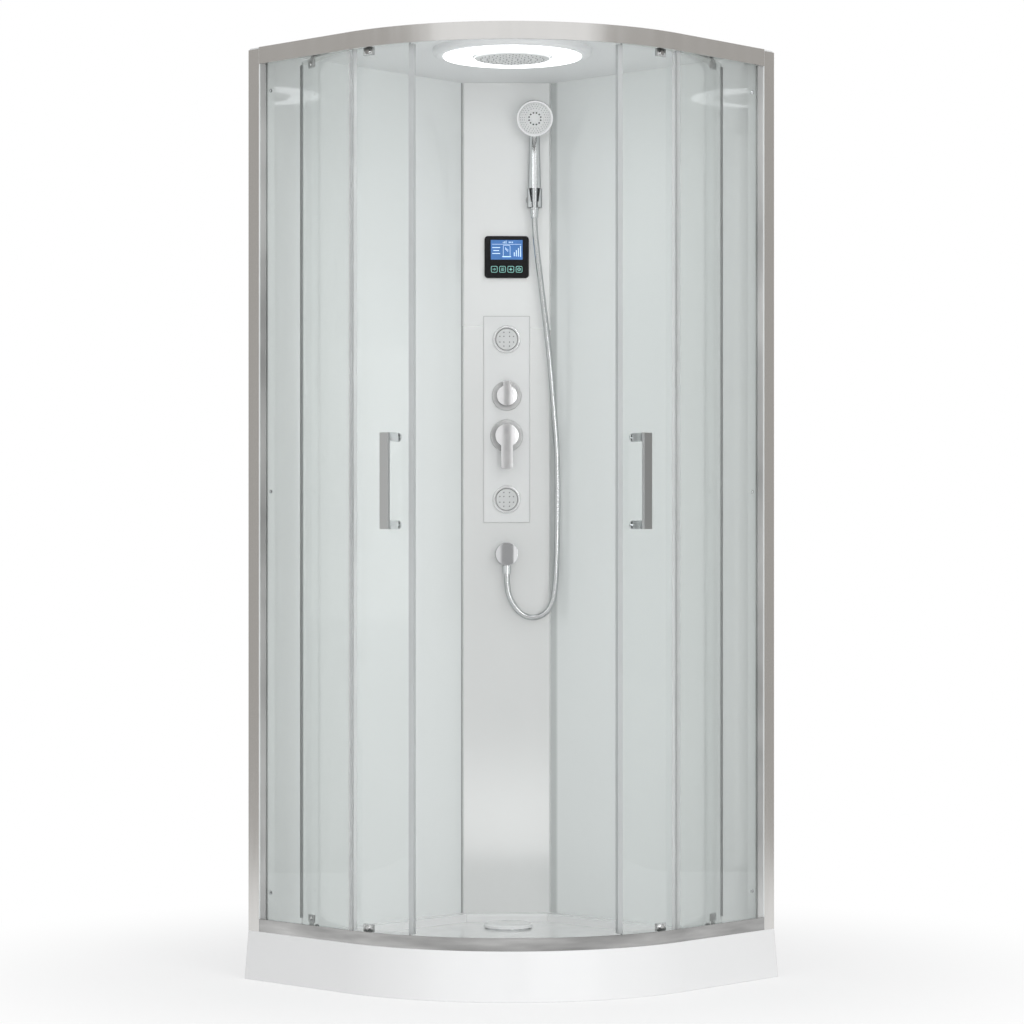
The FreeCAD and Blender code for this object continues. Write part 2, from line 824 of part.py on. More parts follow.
def build_rails():
    """Top rail with the doors' circular track, and the sill on the tray's rim."""
    start = d.post_width
    face = prism("top_rail_face", [quadrant(d.frame_inset, start)], rail_bottom, d.cabin_height)
    cut_prism(face, "top_rail_room", quadrant(rail_back, start - d.overrun),
              rail_bottom - d.overrun, d.cabin_height + d.overrun)
    in_square(face)
    track_low = wheel_low - d.track_margin
    web = prism("top_rail_web", [quadrant(rail_back, start)], web_under, roof_under)
    cut_prism(web, "top_rail_inside", rectangle(start - d.overrun, flank, start - d.overrun, flank),
              web_under - d.overrun, roof_under + d.overrun)
    cut_prism(web, "top_rail_round", None, web_under - d.overrun, roof_under + d.overrun,
              [(flank, flank, track_low)])
    in_square(web)
    track_bottom = track_top - d.track_wall
    wall = sector("track_wall", track_low, track_low + d.track_wall, track_bottom, web_under,
                  0, d.track_angle)
    shelf = sector("track_shelf", track_low, wheel_high + d.track_overlap, track_bottom, track_top,
                   0, d.track_angle)
    hung = fuse("track_whole", wall, shelf)
    reach = quadrant(rail_back + d.fit_gap, start + d.fit_gap)
    room = in_square(prism("track_room", [reach], track_bottom - d.overrun, web_under))
    track = doc.addObject("Part::MultiCommon", "track_in_room")
    track.Shapes = [hung, room]
    node("top_rail", fuse("top_rail", face, web, track))
    sill_inner = d.frame_inset + d.sill_depth
    plate = prism("sill_base", [quadrant(d.frame_inset, start)], tray_height, sill_wall_top)
    cut_prism(plate, "sill_room", quadrant(rail_back, start - d.overrun), sill_top,
              sill_wall_top + d.overrun)
    cut_prism(plate, "sill_inside", quadrant(sill_inner, start - d.overrun),
              tray_height - d.overrun, sill_wall_top)
    in_square(plate)
    lip_low = d.front_radius - sill_inner
    lip = sector("sill_lip", lip_low, lip_low + d.rail_wall / 2, tray_height,
                 sill_top + d.sill_lip_height, 0, d.sill_lip_angle)
    wall_near = tray_side - fixed_back - d.glass_setback - d.channel_wall
    channel = prism("right_channel",
                    [rectangle(start, flank, wall_near, wall_near + d.channel_wall)],
                    tray_height, sill_top + d.channel_height)
    in_square(channel)
    node("bottom_rail", fuse("bottom_rail", plate, lip, channel, mirrored("left_channel", channel)))


def build_fixed_glass():
    """Flat side panes and the seals on their front edges."""
    low = tray_side - fixed_back
    high = tray_side - fixed_front
    start = d.post_width + d.gasket_width - d.gasket_grip
    end = flank - d.fixed_seal_grip / 2
    top = web_under - d.glass_head_gap
    glass = prism("right_fixed_glass", [rectangle(start, end, low, high)], sill_top, top)
    node_pair("fixed_glass", in_square(glass))
    grip = end - d.fixed_seal_grip
    nose = end + d.fixed_seal_nose
    wall = d.fixed_seal_wall
    lip = tray_side - fixed_back - d.door_gap + d.fixed_seal_lip_gap
    seal = prism("right_fixed_seal", [[
        (grip, low - wall), (end, low - wall), (end, lip), (nose, lip), (nose, high + wall),
        (grip, high + wall), (grip, high), (end, high), (end, low), (grip, low)]],
        sill_wall_top, rail_bottom)
    in_square(seal)
    node("fixed_glass_seals", group("fixed_glass_seals", seal, mirrored("left_fixed_seal", seal)))


def build_carriage(name, angle, axle, inner, outer):
    """Chrome block on the door's inner face with a flush bolt, an arm and the wheel's axle."""
    block = prism(name + "_block", [rectangle(
        -d.carriage_width / 2, d.carriage_width / 2, -block_back, -block_front)],
        inner if inner.number < outer.number else outer,
        outer if inner.number < outer.number else inner)
    arm_end = axle + d.carriage_arm_end if axle.number > outer.number else axle - d.carriage_arm_end
    arm_low, arm_high = (outer, arm_end) if axle.number > outer.number else (arm_end, outer)
    arm = prism(name + "_arm", [rectangle(
        -d.carriage_arm_width / 2, d.carriage_arm_width / 2, -block_back, -block_front)],
        arm_low, arm_high)
    bolt_level = (inner + outer) / 2
    bolt = prism(name + "_bolt", [], block_front, door_radius - d.fit_gap,
                 [(0, bolt_level, d.carriage_bolt_radius)], "XZ_Plane")
    end = wheel_low - d.axle_overhang
    pin = prism(name + "_pin", [], end, block_front, [(0, axle, d.axle_radius)], "XZ_Plane")
    head = prism(name + "_pin_head", [], end - d.axle_head, end,
                 [(0, axle, d.axle_radius * 2)], "XZ_Plane")
    for item in (block, arm, bolt, pin, head):
        on_arc(item, angle)
    return fuse(name, block, arm, bolt, pin, head), bolt_level


def build_doors():
    """Curved sliding doors: glass, seals, handles, carriages and wheels."""
    lead = d.door_lead_angle
    glass_sweep = d.door_angle - lead_sweep
    glass_middle = lead + lead_sweep + glass_sweep / 2
    pane = sector("right_door_pane", door_back, door_radius, door_bottom, door_top,
                  glass_middle, glass_sweep)
    drills = []
    carriages = []
    top_low = rail_bottom - d.carriage_height + d.carriage_tuck
    bottom_high = sill_wall_top + d.carriage_height - d.carriage_tuck
    for place_name, offset in (("front", d.front_carriage_angle), ("rear", d.rear_carriage_angle)):
        angle = lead + offset
        for end_name, axle, inner, outer in (
            ("top", top_axle, top_low, top_low + d.carriage_height),
            ("bottom", bottom_axle, bottom_high, bottom_high - d.carriage_height),
        ):
            name = f"{end_name}_{place_name}"
            carriage, level = build_carriage(f"right_{name}_carriage", angle, axle, inner, outer)
            carriages.append(carriage)
            hole = prism(f"right_{name}_hole", [], door_back - d.overrun, door_radius + d.overrun,
                         [(0, level, d.carriage_bolt_radius + d.fit_gap)], "XZ_Plane")
            drills.append(on_arc(hole, angle))
            wheel = prism(f"right_{name}_wheel", [], wheel_low, wheel_high,
                          [(0, axle, d.wheel_radius),
                           (0, axle, d.axle_radius + d.axle_clearance)], "XZ_Plane")
            node_pair(f"{name}_wheel", on_arc(wheel, angle))
    node_pair("carriages", group("right_carriages", *carriages))
    build_handle(lead + d.handle_angle, drills)
    node_pair("door_glass", cut("right_door_glass", pane, *drills))
    seal_out = (d.lead_seal_depth - d.door_glass_thickness) / 2
    lead_seal = sector("right_lead_seal", door_back - seal_out, door_radius + seal_out,
                       sill_wall_top, rail_bottom, lead + lead_sweep / 2, lead_sweep)
    node_pair("lead_seal", lead_seal)
    trail_out = (d.trail_seal_depth - d.door_glass_thickness) / 2
    trail_seal = sector("right_trail_seal", door_back - trail_out, door_radius + trail_out,
                        sill_wall_top, rail_bottom, lead + d.door_angle + trail_sweep / 2,
                        trail_sweep)
    node_pair("trail_seal", trail_seal)


def build_handle(angle, drills):
    """Flat bar on two stubs outside the glass, bolted from inside through rosettes."""
    low = d.handle_centre - d.handle_length / 2
    high = d.handle_centre + d.handle_length / 2
    bar_back = door_radius + d.handle_standoff
    bar = prism("right_handle_bar", [rectangle(
        -d.handle_width / 2, d.handle_width / 2, -bar_back - d.handle_thickness, -bar_back)],
        low, high)
    pieces = [on_arc(bar, angle)]
    fixings = []
    for name, base in (("low", low), ("high", high - d.stub_height)):
        stub = prism(f"right_{name}_stub", [rectangle(
            -d.stub_width / 2, d.stub_width / 2, -bar_back, -door_radius)],
            base, base + d.stub_height)
        pieces.append(on_arc(stub, angle))
        level = base + d.stub_height / 2
        shank = prism(f"right_{name}_shank", [], block_back, door_radius,
                      [(0, level, d.handle_bolt_radius)], "XZ_Plane")
        cap = prism(f"right_{name}_cap", [], block_back - d.handle_cap_thickness, block_back,
                    [(0, level, d.handle_cap_radius)], "XZ_Plane")
        fixings.append(fuse(f"right_{name}_fixing", on_arc(shank, angle), on_arc(cap, angle)))
        hole = prism(f"right_{name}_handle_hole", [], door_back - d.overrun,
                     door_radius + d.overrun,
                     [(0, level, d.handle_bolt_radius + d.fit_gap)], "XZ_Plane")
        drills.append(on_arc(hole, angle))
    node_pair("handle", fuse("right_handle", *pieces))
    node_pair("handle_fixings", group("right_handle_fixings", *fixings))


def build_lamp():
    """Round lamp on the ceiling: housing, glowing ring and the rain head in its middle."""
    low = roof_under - d.housing_depth
    groove = low + d.led_depth - d.led_proud
    edge = d.housing_edge
    led_gap = d.fit_gap
    housing = turned("lamp_housing", [
        (d.pipe_radius + led_gap, low), (d.led_inner_radius - led_gap, low),
        (d.led_inner_radius - led_gap, groove), (d.led_outer_radius + led_gap, groove),
        (d.led_outer_radius + led_gap, low), (d.housing_radius - edge, low, edge),
        (d.housing_radius, low + edge), (d.housing_radius, roof_under),
        (d.pipe_radius + led_gap, roof_under)])
    node("lamp_housing", place(housing, 0, lamp_y, 0))
    ring = turned("led_ring", rectangle(
        d.led_inner_radius, d.led_outer_radius, groove - d.led_depth, groove))
    node("led_ring", place(ring, 0, lamp_y, 0))
    bottom = low - d.rain_head_depth
    rain = turned("rain_head", [
        (0, bottom), (d.rain_head_radius - d.rain_edge, bottom, d.rain_edge),
        (d.rain_head_radius, bottom + d.rain_edge), (d.rain_head_radius, low), (0, low)])
    node("rain_head", place(rain, 0, lamp_y, 0))


def rounded_rectangle(width, height, corner, rise=0):
    """Rectangle with round corners about the origin, raised by a distance."""
    x = width / 2
    y = height / 2
    return [(corner - x, rise - y), (x - corner, rise - y, corner), (x, rise + corner - y),
            (x, rise + y - corner, corner), (x - corner, rise + y), (corner - x, rise + y, corner),
            (-x, rise + y - corner), (-x, rise + corner - y, corner)]


def build_display():
    """Black glass control display with its lit screen."""
    back = d.display_thickness - d.screen_thickness + d.screen_proud
    half_width = d.screen_width / 2
    half_height = d.screen_height / 2
    slab = prism("display_slab", [rounded_rectangle(
        d.display_width, d.display_height, d.display_corner)], 0, d.display_thickness,
        (), "XZ_Plane")
    room = prism("display_room", [rectangle(
        -half_width - d.fit_gap, half_width + d.fit_gap, d.screen_rise - half_height - d.fit_gap,
        d.screen_rise + half_height + d.fit_gap)], back, d.display_thickness + d.overrun,
        (), "XZ_Plane")
    facing(slab, display_centre)
    facing(room, display_centre)
    node("display_glass", cut("display_glass", slab, room))
    screen = prism("display_screen", [rectangle(
        -half_width, half_width, d.screen_rise - half_height, d.screen_rise + half_height)],
        back, back + d.screen_thickness, (), "XZ_Plane")
    node("display_screen", facing(screen, display_centre))


def build_plate(holes):
    """Slim plate that carries the jets, the diverter and the mixer."""
    half_width = d.plate_width / 2
    plate = prism("fittings_plate", [rectangle(-half_width, half_width, plate_low, plate_top)],
                  0, d.plate_thickness, holes[:-1], "XZ_Plane")
    node("fittings_plate", facing(plate, 0))


def build_jets():
    """Two body jets: housings through the column and tilting ball nozzles."""
    outer = barrel_radius + d.jet_barrel_wall
    front = d.plate_thickness + d.jet_ring_proud
    back = -d.jet_barrel_depth
    inner_back = back + d.jet_back_wall
    spigot_end = back - d.jet_spigot_length
    centre = d.plate_thickness + d.jet_ring_proud - d.nozzle_front
    rings = []
    for name, height in (("upper", upper_jet_height), ("lower", lower_jet_height)):
        ring = turned(f"{name}_jet_ring", [
            (0, spigot_end), (d.jet_spigot_radius, spigot_end), (d.jet_spigot_radius, back),
            (outer, back), (outer, d.plate_thickness), (d.jet_ring_radius, d.plate_thickness),
            (d.jet_ring_radius, front - d.jet_edge, d.jet_edge),
            (d.jet_ring_radius - d.jet_edge, front), (barrel_radius, front),
            (barrel_radius, inner_back), (0, inner_back)])
        rings.append(on_column(ring, height))
        low = centre - d.nozzle_back
        high = centre + d.nozzle_front
        ball = turned(f"{name}_jet_ball", [
            (0, low), (chord_half(d.nozzle_radius, d.nozzle_back), low, d.nozzle_radius),
            (chord_half(d.nozzle_radius, d.nozzle_front), high), (0, high)])
        on_column(ball, height)
        circles = []
        for count, circle in ((8, d.nozzle_outer_circle), (4, d.nozzle_inner_circle)):
            for step in range(count):
                turn = measured(FULL_TURN * (2 * step + 1) / (2 * count))
                circles.append((circle * cosine(turn), circle * sine(turn), d.nozzle_hole_radius))
        drill = prism(f"{name}_jet_holes", [], high - d.nozzle_hole_depth, high + d.overrun,
                      circles, "XZ_Plane")
        facing(drill, height)
        node(f"{name}_jet_nozzle", cut(f"{name}_jet_nozzle", ball, drill))
    node("jet_rings", group("jet_rings", *rings))


def build_controls():
    """Diverter knob and the single lever mixer with their round plates."""
    base = d.plate_thickness
    mixer_top = base + d.mixer_plate_depth
    diverter_top = base + d.diverter_plate_depth
    hole = d.stem_radius + d.fit_gap
    rosettes = []
    for name, radius, top, height in (
        ("mixer", d.mixer_plate_radius, mixer_top, mixer_height),
        ("diverter", d.diverter_plate_radius, diverter_top, diverter_height),
    ):
        rosette = turned(f"{name}_rosette", [
            (hole, base), (radius, base), (radius, top - d.mixer_edge, d.mixer_edge),
            (radius - d.mixer_edge, top), (hole, top)])
        rosettes.append(on_column(rosette, height))
    node("escutcheons", group("escutcheons", *rosettes))
    stem_end = -d.column_wall - d.stem_depth
    low = diverter_top + d.fit_gap
    high = low + d.diverter_depth
    knob = turned("diverter_turning", [
        (0, stem_end), (d.stem_radius, stem_end), (d.stem_radius, low), (d.diverter_radius, low),
        (d.diverter_radius, high - d.mixer_edge, d.mixer_edge),
        (d.diverter_radius - d.mixer_edge, high), (0, high)])
    on_column(knob, diverter_height)
    tab_half = d.diverter_tab_width / 2
    tab_end = chord_half(d.diverter_radius, tab_half)
    tab_top = chord_half(d.diverter_tab_reach, tab_half)
    tab = prism("diverter_tab", [[
        (-tab_half, -tab_end, d.diverter_radius), (tab_half, -tab_end),
        (tab_half, tab_top, d.diverter_tab_reach), (-tab_half, tab_top)]],
        low, high + d.diverter_tab_proud, (), "XZ_Plane")
    facing(tab, diverter_height)
    node("diverter_knob", fuse("diverter_knob", knob, tab))
    middle = mixer_top + d.fit_gap
    spindle = turned("mixer_spindle", [
        (0, stem_end), (d.stem_radius, stem_end), (d.stem_radius, middle),
        (d.ball_radius, middle, d.ball_radius), (0, middle + d.ball_radius)])
    node("mixer_spindle", on_column(spindle, mixer_height))
    inner = d.ball_radius + d.ball_clearance
    outer = inner + d.lever_shell
    edge_sine = sine(d.lever_shell_angle)
    edge_cosine = cosine(d.lever_shell_angle)
    shell = turned("lever_hood", [
        (inner * edge_sine, middle + inner * edge_cosine),
        (outer * edge_sine, middle + outer * edge_cosine, outer), (0, middle + outer),
        (0, middle + inner, -inner)])
    on_column(shell, mixer_height)
    half = d.lever_width / 2
    front = middle + outer
    arm_back = front - d.lever_thickness
    arm_top = -chord_half(inner, arm_back - middle) - d.ball_clearance
    arm = prism("lever_arm", [[
        (-half, arm_top), (-half, half - d.lever_reach, half), (0, -d.lever_reach, half),
        (half, half - d.lever_reach), (half, arm_top)]], arm_back, front, (), "XZ_Plane")
    facing(arm, mixer_height)
    node("mixer_lever", fuse("mixer_lever", shell, arm))


def path_edges(points, bend):
    """Straight runs joined by tangent arcs, and their radii; without a bend they are largest."""
    runs = [second - first for first, second in zip(points, points[1:])]
    edges = []
    radii = []
    here = points[0]
    for index in range(1, len(points) - 1):
        before = FreeCAD.Vector(runs[index - 1]).normalize()
        after = FreeCAD.Vector(runs[index]).normalize()
        half_turn = math.tan(before.getAngle(after) / 2)
        shorter = min(runs[index - 1].Length, runs[index].Length)
        radius = bend.number if bend else ROUND_SHARE * shorter / half_turn
        set_back = radius * half_turn
        radii.append(round(radius))
        corner = points[index]
        start = corner - before * set_back
        end = corner + after * set_back
        middle = corner + (after - before).normalize() * (math.hypot(radius, set_back) - radius)
        edges.append(Part.LineSegment(here, start).toShape())
        edges.append(Part.Arc(start, middle, end).toShape())
        here = end
    edges.append(Part.LineSegment(here, points[-1]).toShape())
    return edges, radii


def tube(name, points, radius, bend=None):
    """Round solid along a route of points."""
    edges, radii = path_edges(points, bend)
    path = Part.Wire(edges)
    section = Part.Wire([Part.Circle(points[0], points[1] - points[0], radius.number).toShape()])
    item = doc.addObject("Part::Feature", name)
    item.Shape = path.makePipeShell([section], True, False)
    wanted = math.pi * radius.number ** 2 * path.Length
    print(name, "length", round(path.Length), "volume share", round(item.Shape.Volume / wanted, 4))
    print(name, "radii", radii)
    return item


def spot(x, y, z):
    """Point in space from measures or numbers."""
    return FreeCAD.Vector(*(measured(value).number for value in (x, y, z)))


def build_water():
    """Brass valve bodies behind the column and the pipes that join them; gives the riser's place."""
    back = column_face + d.column_wall
    half_width = d.valve_width / 2
    half_height = d.valve_height / 2
    bore = d.stem_radius + d.stem_clearance
    bodies = []
    for name, height in (("mixer", mixer_height), ("diverter", diverter_height)):
        solid = prism(f"{name}_valve_body", [rectangle(
            -half_width, half_width, -half_height, half_height)],
            -d.valve_depth, 0, (), "XZ_Plane")
        well = prism(f"{name}_valve_well", [], -d.stem_depth - d.fit_gap, d.overrun,
                     [(0, 0, bore)], "XZ_Plane")
        for item in (solid, well):
            place(item, 0, back, height)
        bodies.append(cut(f"{name}_valve", solid, well))
    node("valve_bodies", group("valve_bodies", *bodies))
    middle_y = back + d.valve_depth / 2
    pipes = []
    link = turned("valve_link", rectangle(
        0, d.pipe_radius, mixer_height + half_height, diverter_height - half_height))
    pipes.append(place(link, 0, middle_y, 0))
    valve_back = back + d.valve_depth
    for name, across in (("hot", -d.inlet_offset), ("cold", d.inlet_offset)):
        pipes.append(prism(f"{name}_inlet", [], -valve_back - d.inlet_length, -valve_back,
                           [(across, mixer_height, d.inlet_radius)], "XZ_Plane"))
    jet_y = column_face + d.jet_barrel_depth + d.jet_spigot_length
    tail_y = jet_y + d.pipe_tail
    jet_pipe = tube("jet_pipe", [
        spot(0, jet_y, upper_jet_height), spot(0, tail_y, upper_jet_height),
        spot(0, tail_y, lower_jet_height), spot(0, jet_y, lower_jet_height)],
        d.pipe_radius, d.pipe_bend_radius)
    branch = prism("jet_branch", [], -tail_y, -valve_back,
                   [(0, diverter_height, d.pipe_radius)], "XZ_Plane")
    pipes.append(fuse("jet_feed", jet_pipe, branch))
    shank_y = column_face + d.outlet_shank_length
    low_y = shank_y + d.pipe_tail
    pipes.append(tube("hose_pipe", [
        spot(-half_width, middle_y, diverter_height),
        spot(-d.pipe_offset, middle_y, diverter_height),
        spot(-d.pipe_offset, low_y, outlet_height), spot(0, low_y, outlet_height),
        spot(0, shank_y, outlet_height)], d.pipe_radius, d.pipe_bend_radius))
    roof_level = d.cabin_height + d.roof_pipe_rise
    pipes.append(tube("rain_pipe", [
        spot(half_width, middle_y, diverter_height),
        spot(d.pipe_offset, middle_y, diverter_height),
        spot(d.pipe_offset, middle_y, roof_level), spot(0, lamp_y, roof_level),
        spot(0, lamp_y, roof_under - d.housing_depth)], d.pipe_radius, d.pipe_bend_radius))
    node("water_pipes", group("water_pipes", *pipes))
    return d.pipe_offset, middle_y


def build_outlet():
    """Round hose outlet on the column with its spout and swivel nut."""
    round_body = turned("outlet_round", [
        (0, -d.outlet_shank_length), (d.outlet_shank_radius, -d.outlet_shank_length),
        (d.outlet_shank_radius, 0), (d.outlet_radius, 0),
        (d.outlet_radius, d.outlet_depth - d.outlet_edge, d.outlet_edge),
        (d.outlet_radius - d.outlet_edge, d.outlet_depth), (0, d.outlet_depth)])
    on_column(round_body, outlet_height)
    nut_high = outlet_height - d.outlet_radius - d.fit_gap
    nut_low = nut_high - d.hose_nut_length
    axis_y = column_face - d.outlet_axis
    spout = turned("outlet_spout", rectangle(0, d.outlet_spout_radius, nut_high, outlet_height))
    place(spout, 0, axis_y, 0)
    nut = turned("hose_nut", rectangle(0, d.hose_nut_radius, nut_low, nut_high))
    place(nut, 0, axis_y, 0)
    node("hose_outlet", group("hose_outlet", fuse("outlet_body", round_body, spout), nut))


def build_hose():
    """Smooth flexible hose that hangs in a loop from the outlet up to the handset."""
    points = [spot(x, column_face - out, z) for x, out, z in HOSE_ROUTE]
    node("shower_hose", tube("shower_hose", points, d.hose_radius))


def build_handset():
    """Hand shower in its slotted holder."""
    axis_y = column_face - d.handset_axis
    low = holder_top - d.holder_height
    middle = (low + holder_top) / 2
    ring = turned("holder_ring", rectangle(d.holder_bore, d.holder_radius, low, holder_top))
    place(ring, d.handset_offset, axis_y, 0)
    arm_end = d.handset_axis - (d.holder_bore + d.holder_radius) / 2
    arm = turned("holder_arm", [
        (0, 0), (d.holder_base_radius, 0), (d.holder_base_radius, d.holder_base_depth),
        (d.holder_arm_radius, d.holder_base_depth), (d.holder_arm_radius, arm_end), (0, arm_end)])
    on_column(arm, middle, d.handset_offset)
    half_slot = d.holder_slot / 2
    slot = prism("holder_slot", [rectangle(
        -half_slot, half_slot, -d.holder_radius - d.overrun, 0)], low - d.overrun,
        holder_top + d.overrun)
    place(slot, d.handset_offset, axis_y, 0)
    node("handset_holder", cut("handset_holder", fuse("holder_whole", ring, arm), slot))
    seat = holder_top + d.fit_gap
    handle = turned("handset_handle", [
        (0, holder_top - d.cone_length), (d.cone_bottom_radius, holder_top - d.cone_length),
        (d.cone_top_radius, holder_top), (d.cone_top_radius, seat), (d.handle_low_radius, seat),
        (d.handle_top_radius, handle_top), (0, handle_top)])
    place(handle, d.handset_offset, axis_y, 0)
    neck = turned("handset_neck", rectangle(0, d.neck_radius, 0, d.neck_length))
    place(neck, d.handset_offset, axis_y, handle_top - d.neck_radius, AXIS_X, d.head_tilt_angle)
    recess = d.head_face_radius + d.fit_gap
    head = turned("handset_head", [
        (0, -d.head_depth), (d.head_back_radius, -d.head_depth), (d.head_radius, -d.head_rim),
        (d.head_radius, 0), (recess, 0), (recess, -d.head_face_recess), (0, -d.head_face_recess)])
    face = turned("handset_face", rectangle(
        0, d.head_face_radius, -d.head_face_recess, d.head_face_thickness - d.head_face_recess))
    for item in (head, face):
        place(item, d.handset_offset, axis_y - d.head_lead, head_height, AXIS_X,
              QUARTER_TURN + d.head_tilt_angle)
    node("handset", fuse("handset", handle, neck, head))
    node("handset_face", face)


def main():
    """Build every piece, check the document and write the sub-parts."""
    build_tray()
    build_apron()
    build_underframe()
    build_drain()
    holes = build_walls()
    build_posts()
    build_rails()
    build_fixed_glass()
    build_doors()
    build_lamp()
    build_display()
    build_plate(holes)
    build_jets()
    build_controls()
    riser = build_water()
    build_roof(riser)
    build_outlet()
    build_hose()
    build_handset()
    doc.recompute()
    failed = [item.Label for item in doc.Objects if {"Invalid", "Error"} & set(item.State)]
    if failed:
        raise RuntimeError(f"failed objects: {failed}")
    for name, item in nodes.items():
        if item.Shape.isNull() or not item.Shape.isValid() or not item.Shape.Solids:
            raise RuntimeError(f"bad shape: {name}")
    os.makedirs("parts", exist_ok=True)
    for name, item in nodes.items():
        item.Shape.exportStep(f"parts/{name}.step")
    print(len(nodes), "sub-parts written")


main()
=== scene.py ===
import json
import math

import bmesh
import bpy
from bpy.props import FloatProperty, FloatVectorProperty, PointerProperty
from mathutils import Matrix, Vector


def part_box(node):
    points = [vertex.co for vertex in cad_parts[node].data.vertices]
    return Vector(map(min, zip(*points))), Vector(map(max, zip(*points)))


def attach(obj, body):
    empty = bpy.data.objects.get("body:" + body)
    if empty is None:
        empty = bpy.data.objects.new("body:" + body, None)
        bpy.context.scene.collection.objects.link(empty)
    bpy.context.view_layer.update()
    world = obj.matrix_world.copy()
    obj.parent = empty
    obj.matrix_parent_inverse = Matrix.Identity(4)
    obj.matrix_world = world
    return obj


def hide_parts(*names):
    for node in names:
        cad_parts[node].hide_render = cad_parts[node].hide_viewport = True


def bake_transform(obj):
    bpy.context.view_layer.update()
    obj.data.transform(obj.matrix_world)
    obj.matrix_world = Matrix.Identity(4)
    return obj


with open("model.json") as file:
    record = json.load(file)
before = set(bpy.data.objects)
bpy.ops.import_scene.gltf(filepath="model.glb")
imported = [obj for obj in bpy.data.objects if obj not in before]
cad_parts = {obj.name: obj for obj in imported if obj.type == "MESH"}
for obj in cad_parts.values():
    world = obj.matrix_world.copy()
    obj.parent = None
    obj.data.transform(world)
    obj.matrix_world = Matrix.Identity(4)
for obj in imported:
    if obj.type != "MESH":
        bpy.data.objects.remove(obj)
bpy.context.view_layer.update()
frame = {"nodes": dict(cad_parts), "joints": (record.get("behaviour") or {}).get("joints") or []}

bl_info = {
    "name": "Shower cabin looks",
    "version": (1, 0, 0),
    "blender": (4, 5, 0),
    "location": "View3D > Sidebar > Cabin",
    "description": "Finishes and small pieces of a quadrant shower cabin, with a plain studio",
    "category": "Object",
}

COLUMN_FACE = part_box("column_panel")[0].y
ARC_CENTRE = Vector(next(
    joint["pos_m"] for joint in frame["joints"] if joint["name"] == "right_door_slide"))
SIDES = ("left", "right")
WHITE = (1.0, 1.0, 1.0)
BLACK = (0.0, 0.0, 0.0)
# Edge tint of chrome and the hose: a painted dark reflection at their rims.
PAINTED_DARK_RIM = (0.05, 0.05, 0.05, 1.0)

# Most of a noise texture's values lie in this range.
NOISE_RANGE = (0.3, 0.7)
# How a noise's grain is stretched along x, y and z.
EVEN = (1.0, 1.0, 1.0)
# Gloss of drawn profiles as low, high, scale and stretch.
ANODISED = (0.18, 0.27, 40.0, (1.0, 1.0, 0.06))
# Rays that see the surroundings, as against those that only carry light.
SEEN_RAYS = ("Camera", "Glossy", "Transmission")

QUARTER = math.radians(90)
# Turns a piece's height to the front.
FACING = Matrix.Rotation(QUARTER, 4, "X")
# Turns a card that faces the front to the side.
SIDEWAYS = Matrix.Rotation(QUARTER, 4, "Z") @ FACING

# Lamps as place, target and size.
LAMPS = {
    "key": ((2.6, -4.4, 4.2), (0.0, 0.0, 1.1), (2.4, 2.4)),
    "fill": ((-3.0, -4.6, 3.4), (0.0, 0.0, 1.1), (2.4, 2.4)),
    "low": ((0.9, -4.6, 1.3), (0.0, 0.1, 0.3), (2.4, 1.2)),
}
# Cards for mirror images as place and size; the last two stand on both sides.
FRONT_CARD = ((-1.0, -3.2, 1.2), (3.0, 2.0))
SIDE_CARD = ((3.0, -1.0, 1.3), (5.0, 3.4))
BAR_CARD = ((2.9, -1.75, 1.25), (2.2, 1.3))
FLOOR_SIDE = 60.0
# The floor's share of white near the cabin, and the distances over which it grows to all.
FLOOR_WHITE = 0.6
FLOOR_FADE = (0.6, 1.7)

# Rings of nozzles on the rain head, and sides of one round nozzle.
RAIN_RINGS = 5
NUB_STEPS = 8

# Route of the hose as (across, out from the column, height) points.
HOSE_ROUTE = [
    (0.0, 0.030, 0.9595), (0.0, 0.030, 0.926), (0.010, 0.031, 0.890), (0.034, 0.032, 0.857),
    (0.065, 0.033, 0.846), (0.097, 0.034, 0.8565), (0.116, 0.035, 0.884), (0.123, 0.036, 0.926),
    (0.1255, 0.037, 0.978), (0.127, 0.038, 1.040), (0.1285, 0.039, 1.115), (0.1285, 0.040, 1.200),
    (0.126, 0.041, 1.290), (0.118, 0.042, 1.385), (0.110, 0.043, 1.490), (0.0985, 0.044, 1.595),
    (0.086, 0.045, 1.695), (0.0755, 0.045, 1.780), (0.0695, 0.045, 1.841), (0.0695, 0.045, 1.883),
]
HOSE_POINTS = [Vector((across, COLUMN_FACE - out, height)) for across, out, height in HOSE_ROUTE]


def tint(name, description, default):
    """A colour that the user can change."""
    return FloatVectorProperty(
        name=name, description=description, subtype="COLOR", size=3, min=0.0, max=1.0,
        default=default)


def metres(name, description, default):
    """A length that the user can change."""
    return FloatProperty(
        name=name, description=description, subtype="DISTANCE", unit="LENGTH", min=0.0,
        precision=4, default=default)


def watts(name, description, default):
    """A lamp's power that the user can change."""
    return FloatProperty(
        name=name, description=description, subtype="POWER", unit="POWER", default=default)


def portion(name, description, default):
    """A share of the whole that the user can change."""
    return FloatProperty(
        name=name, description=description, subtype="FACTOR", min=0.0, max=1.0, default=default)


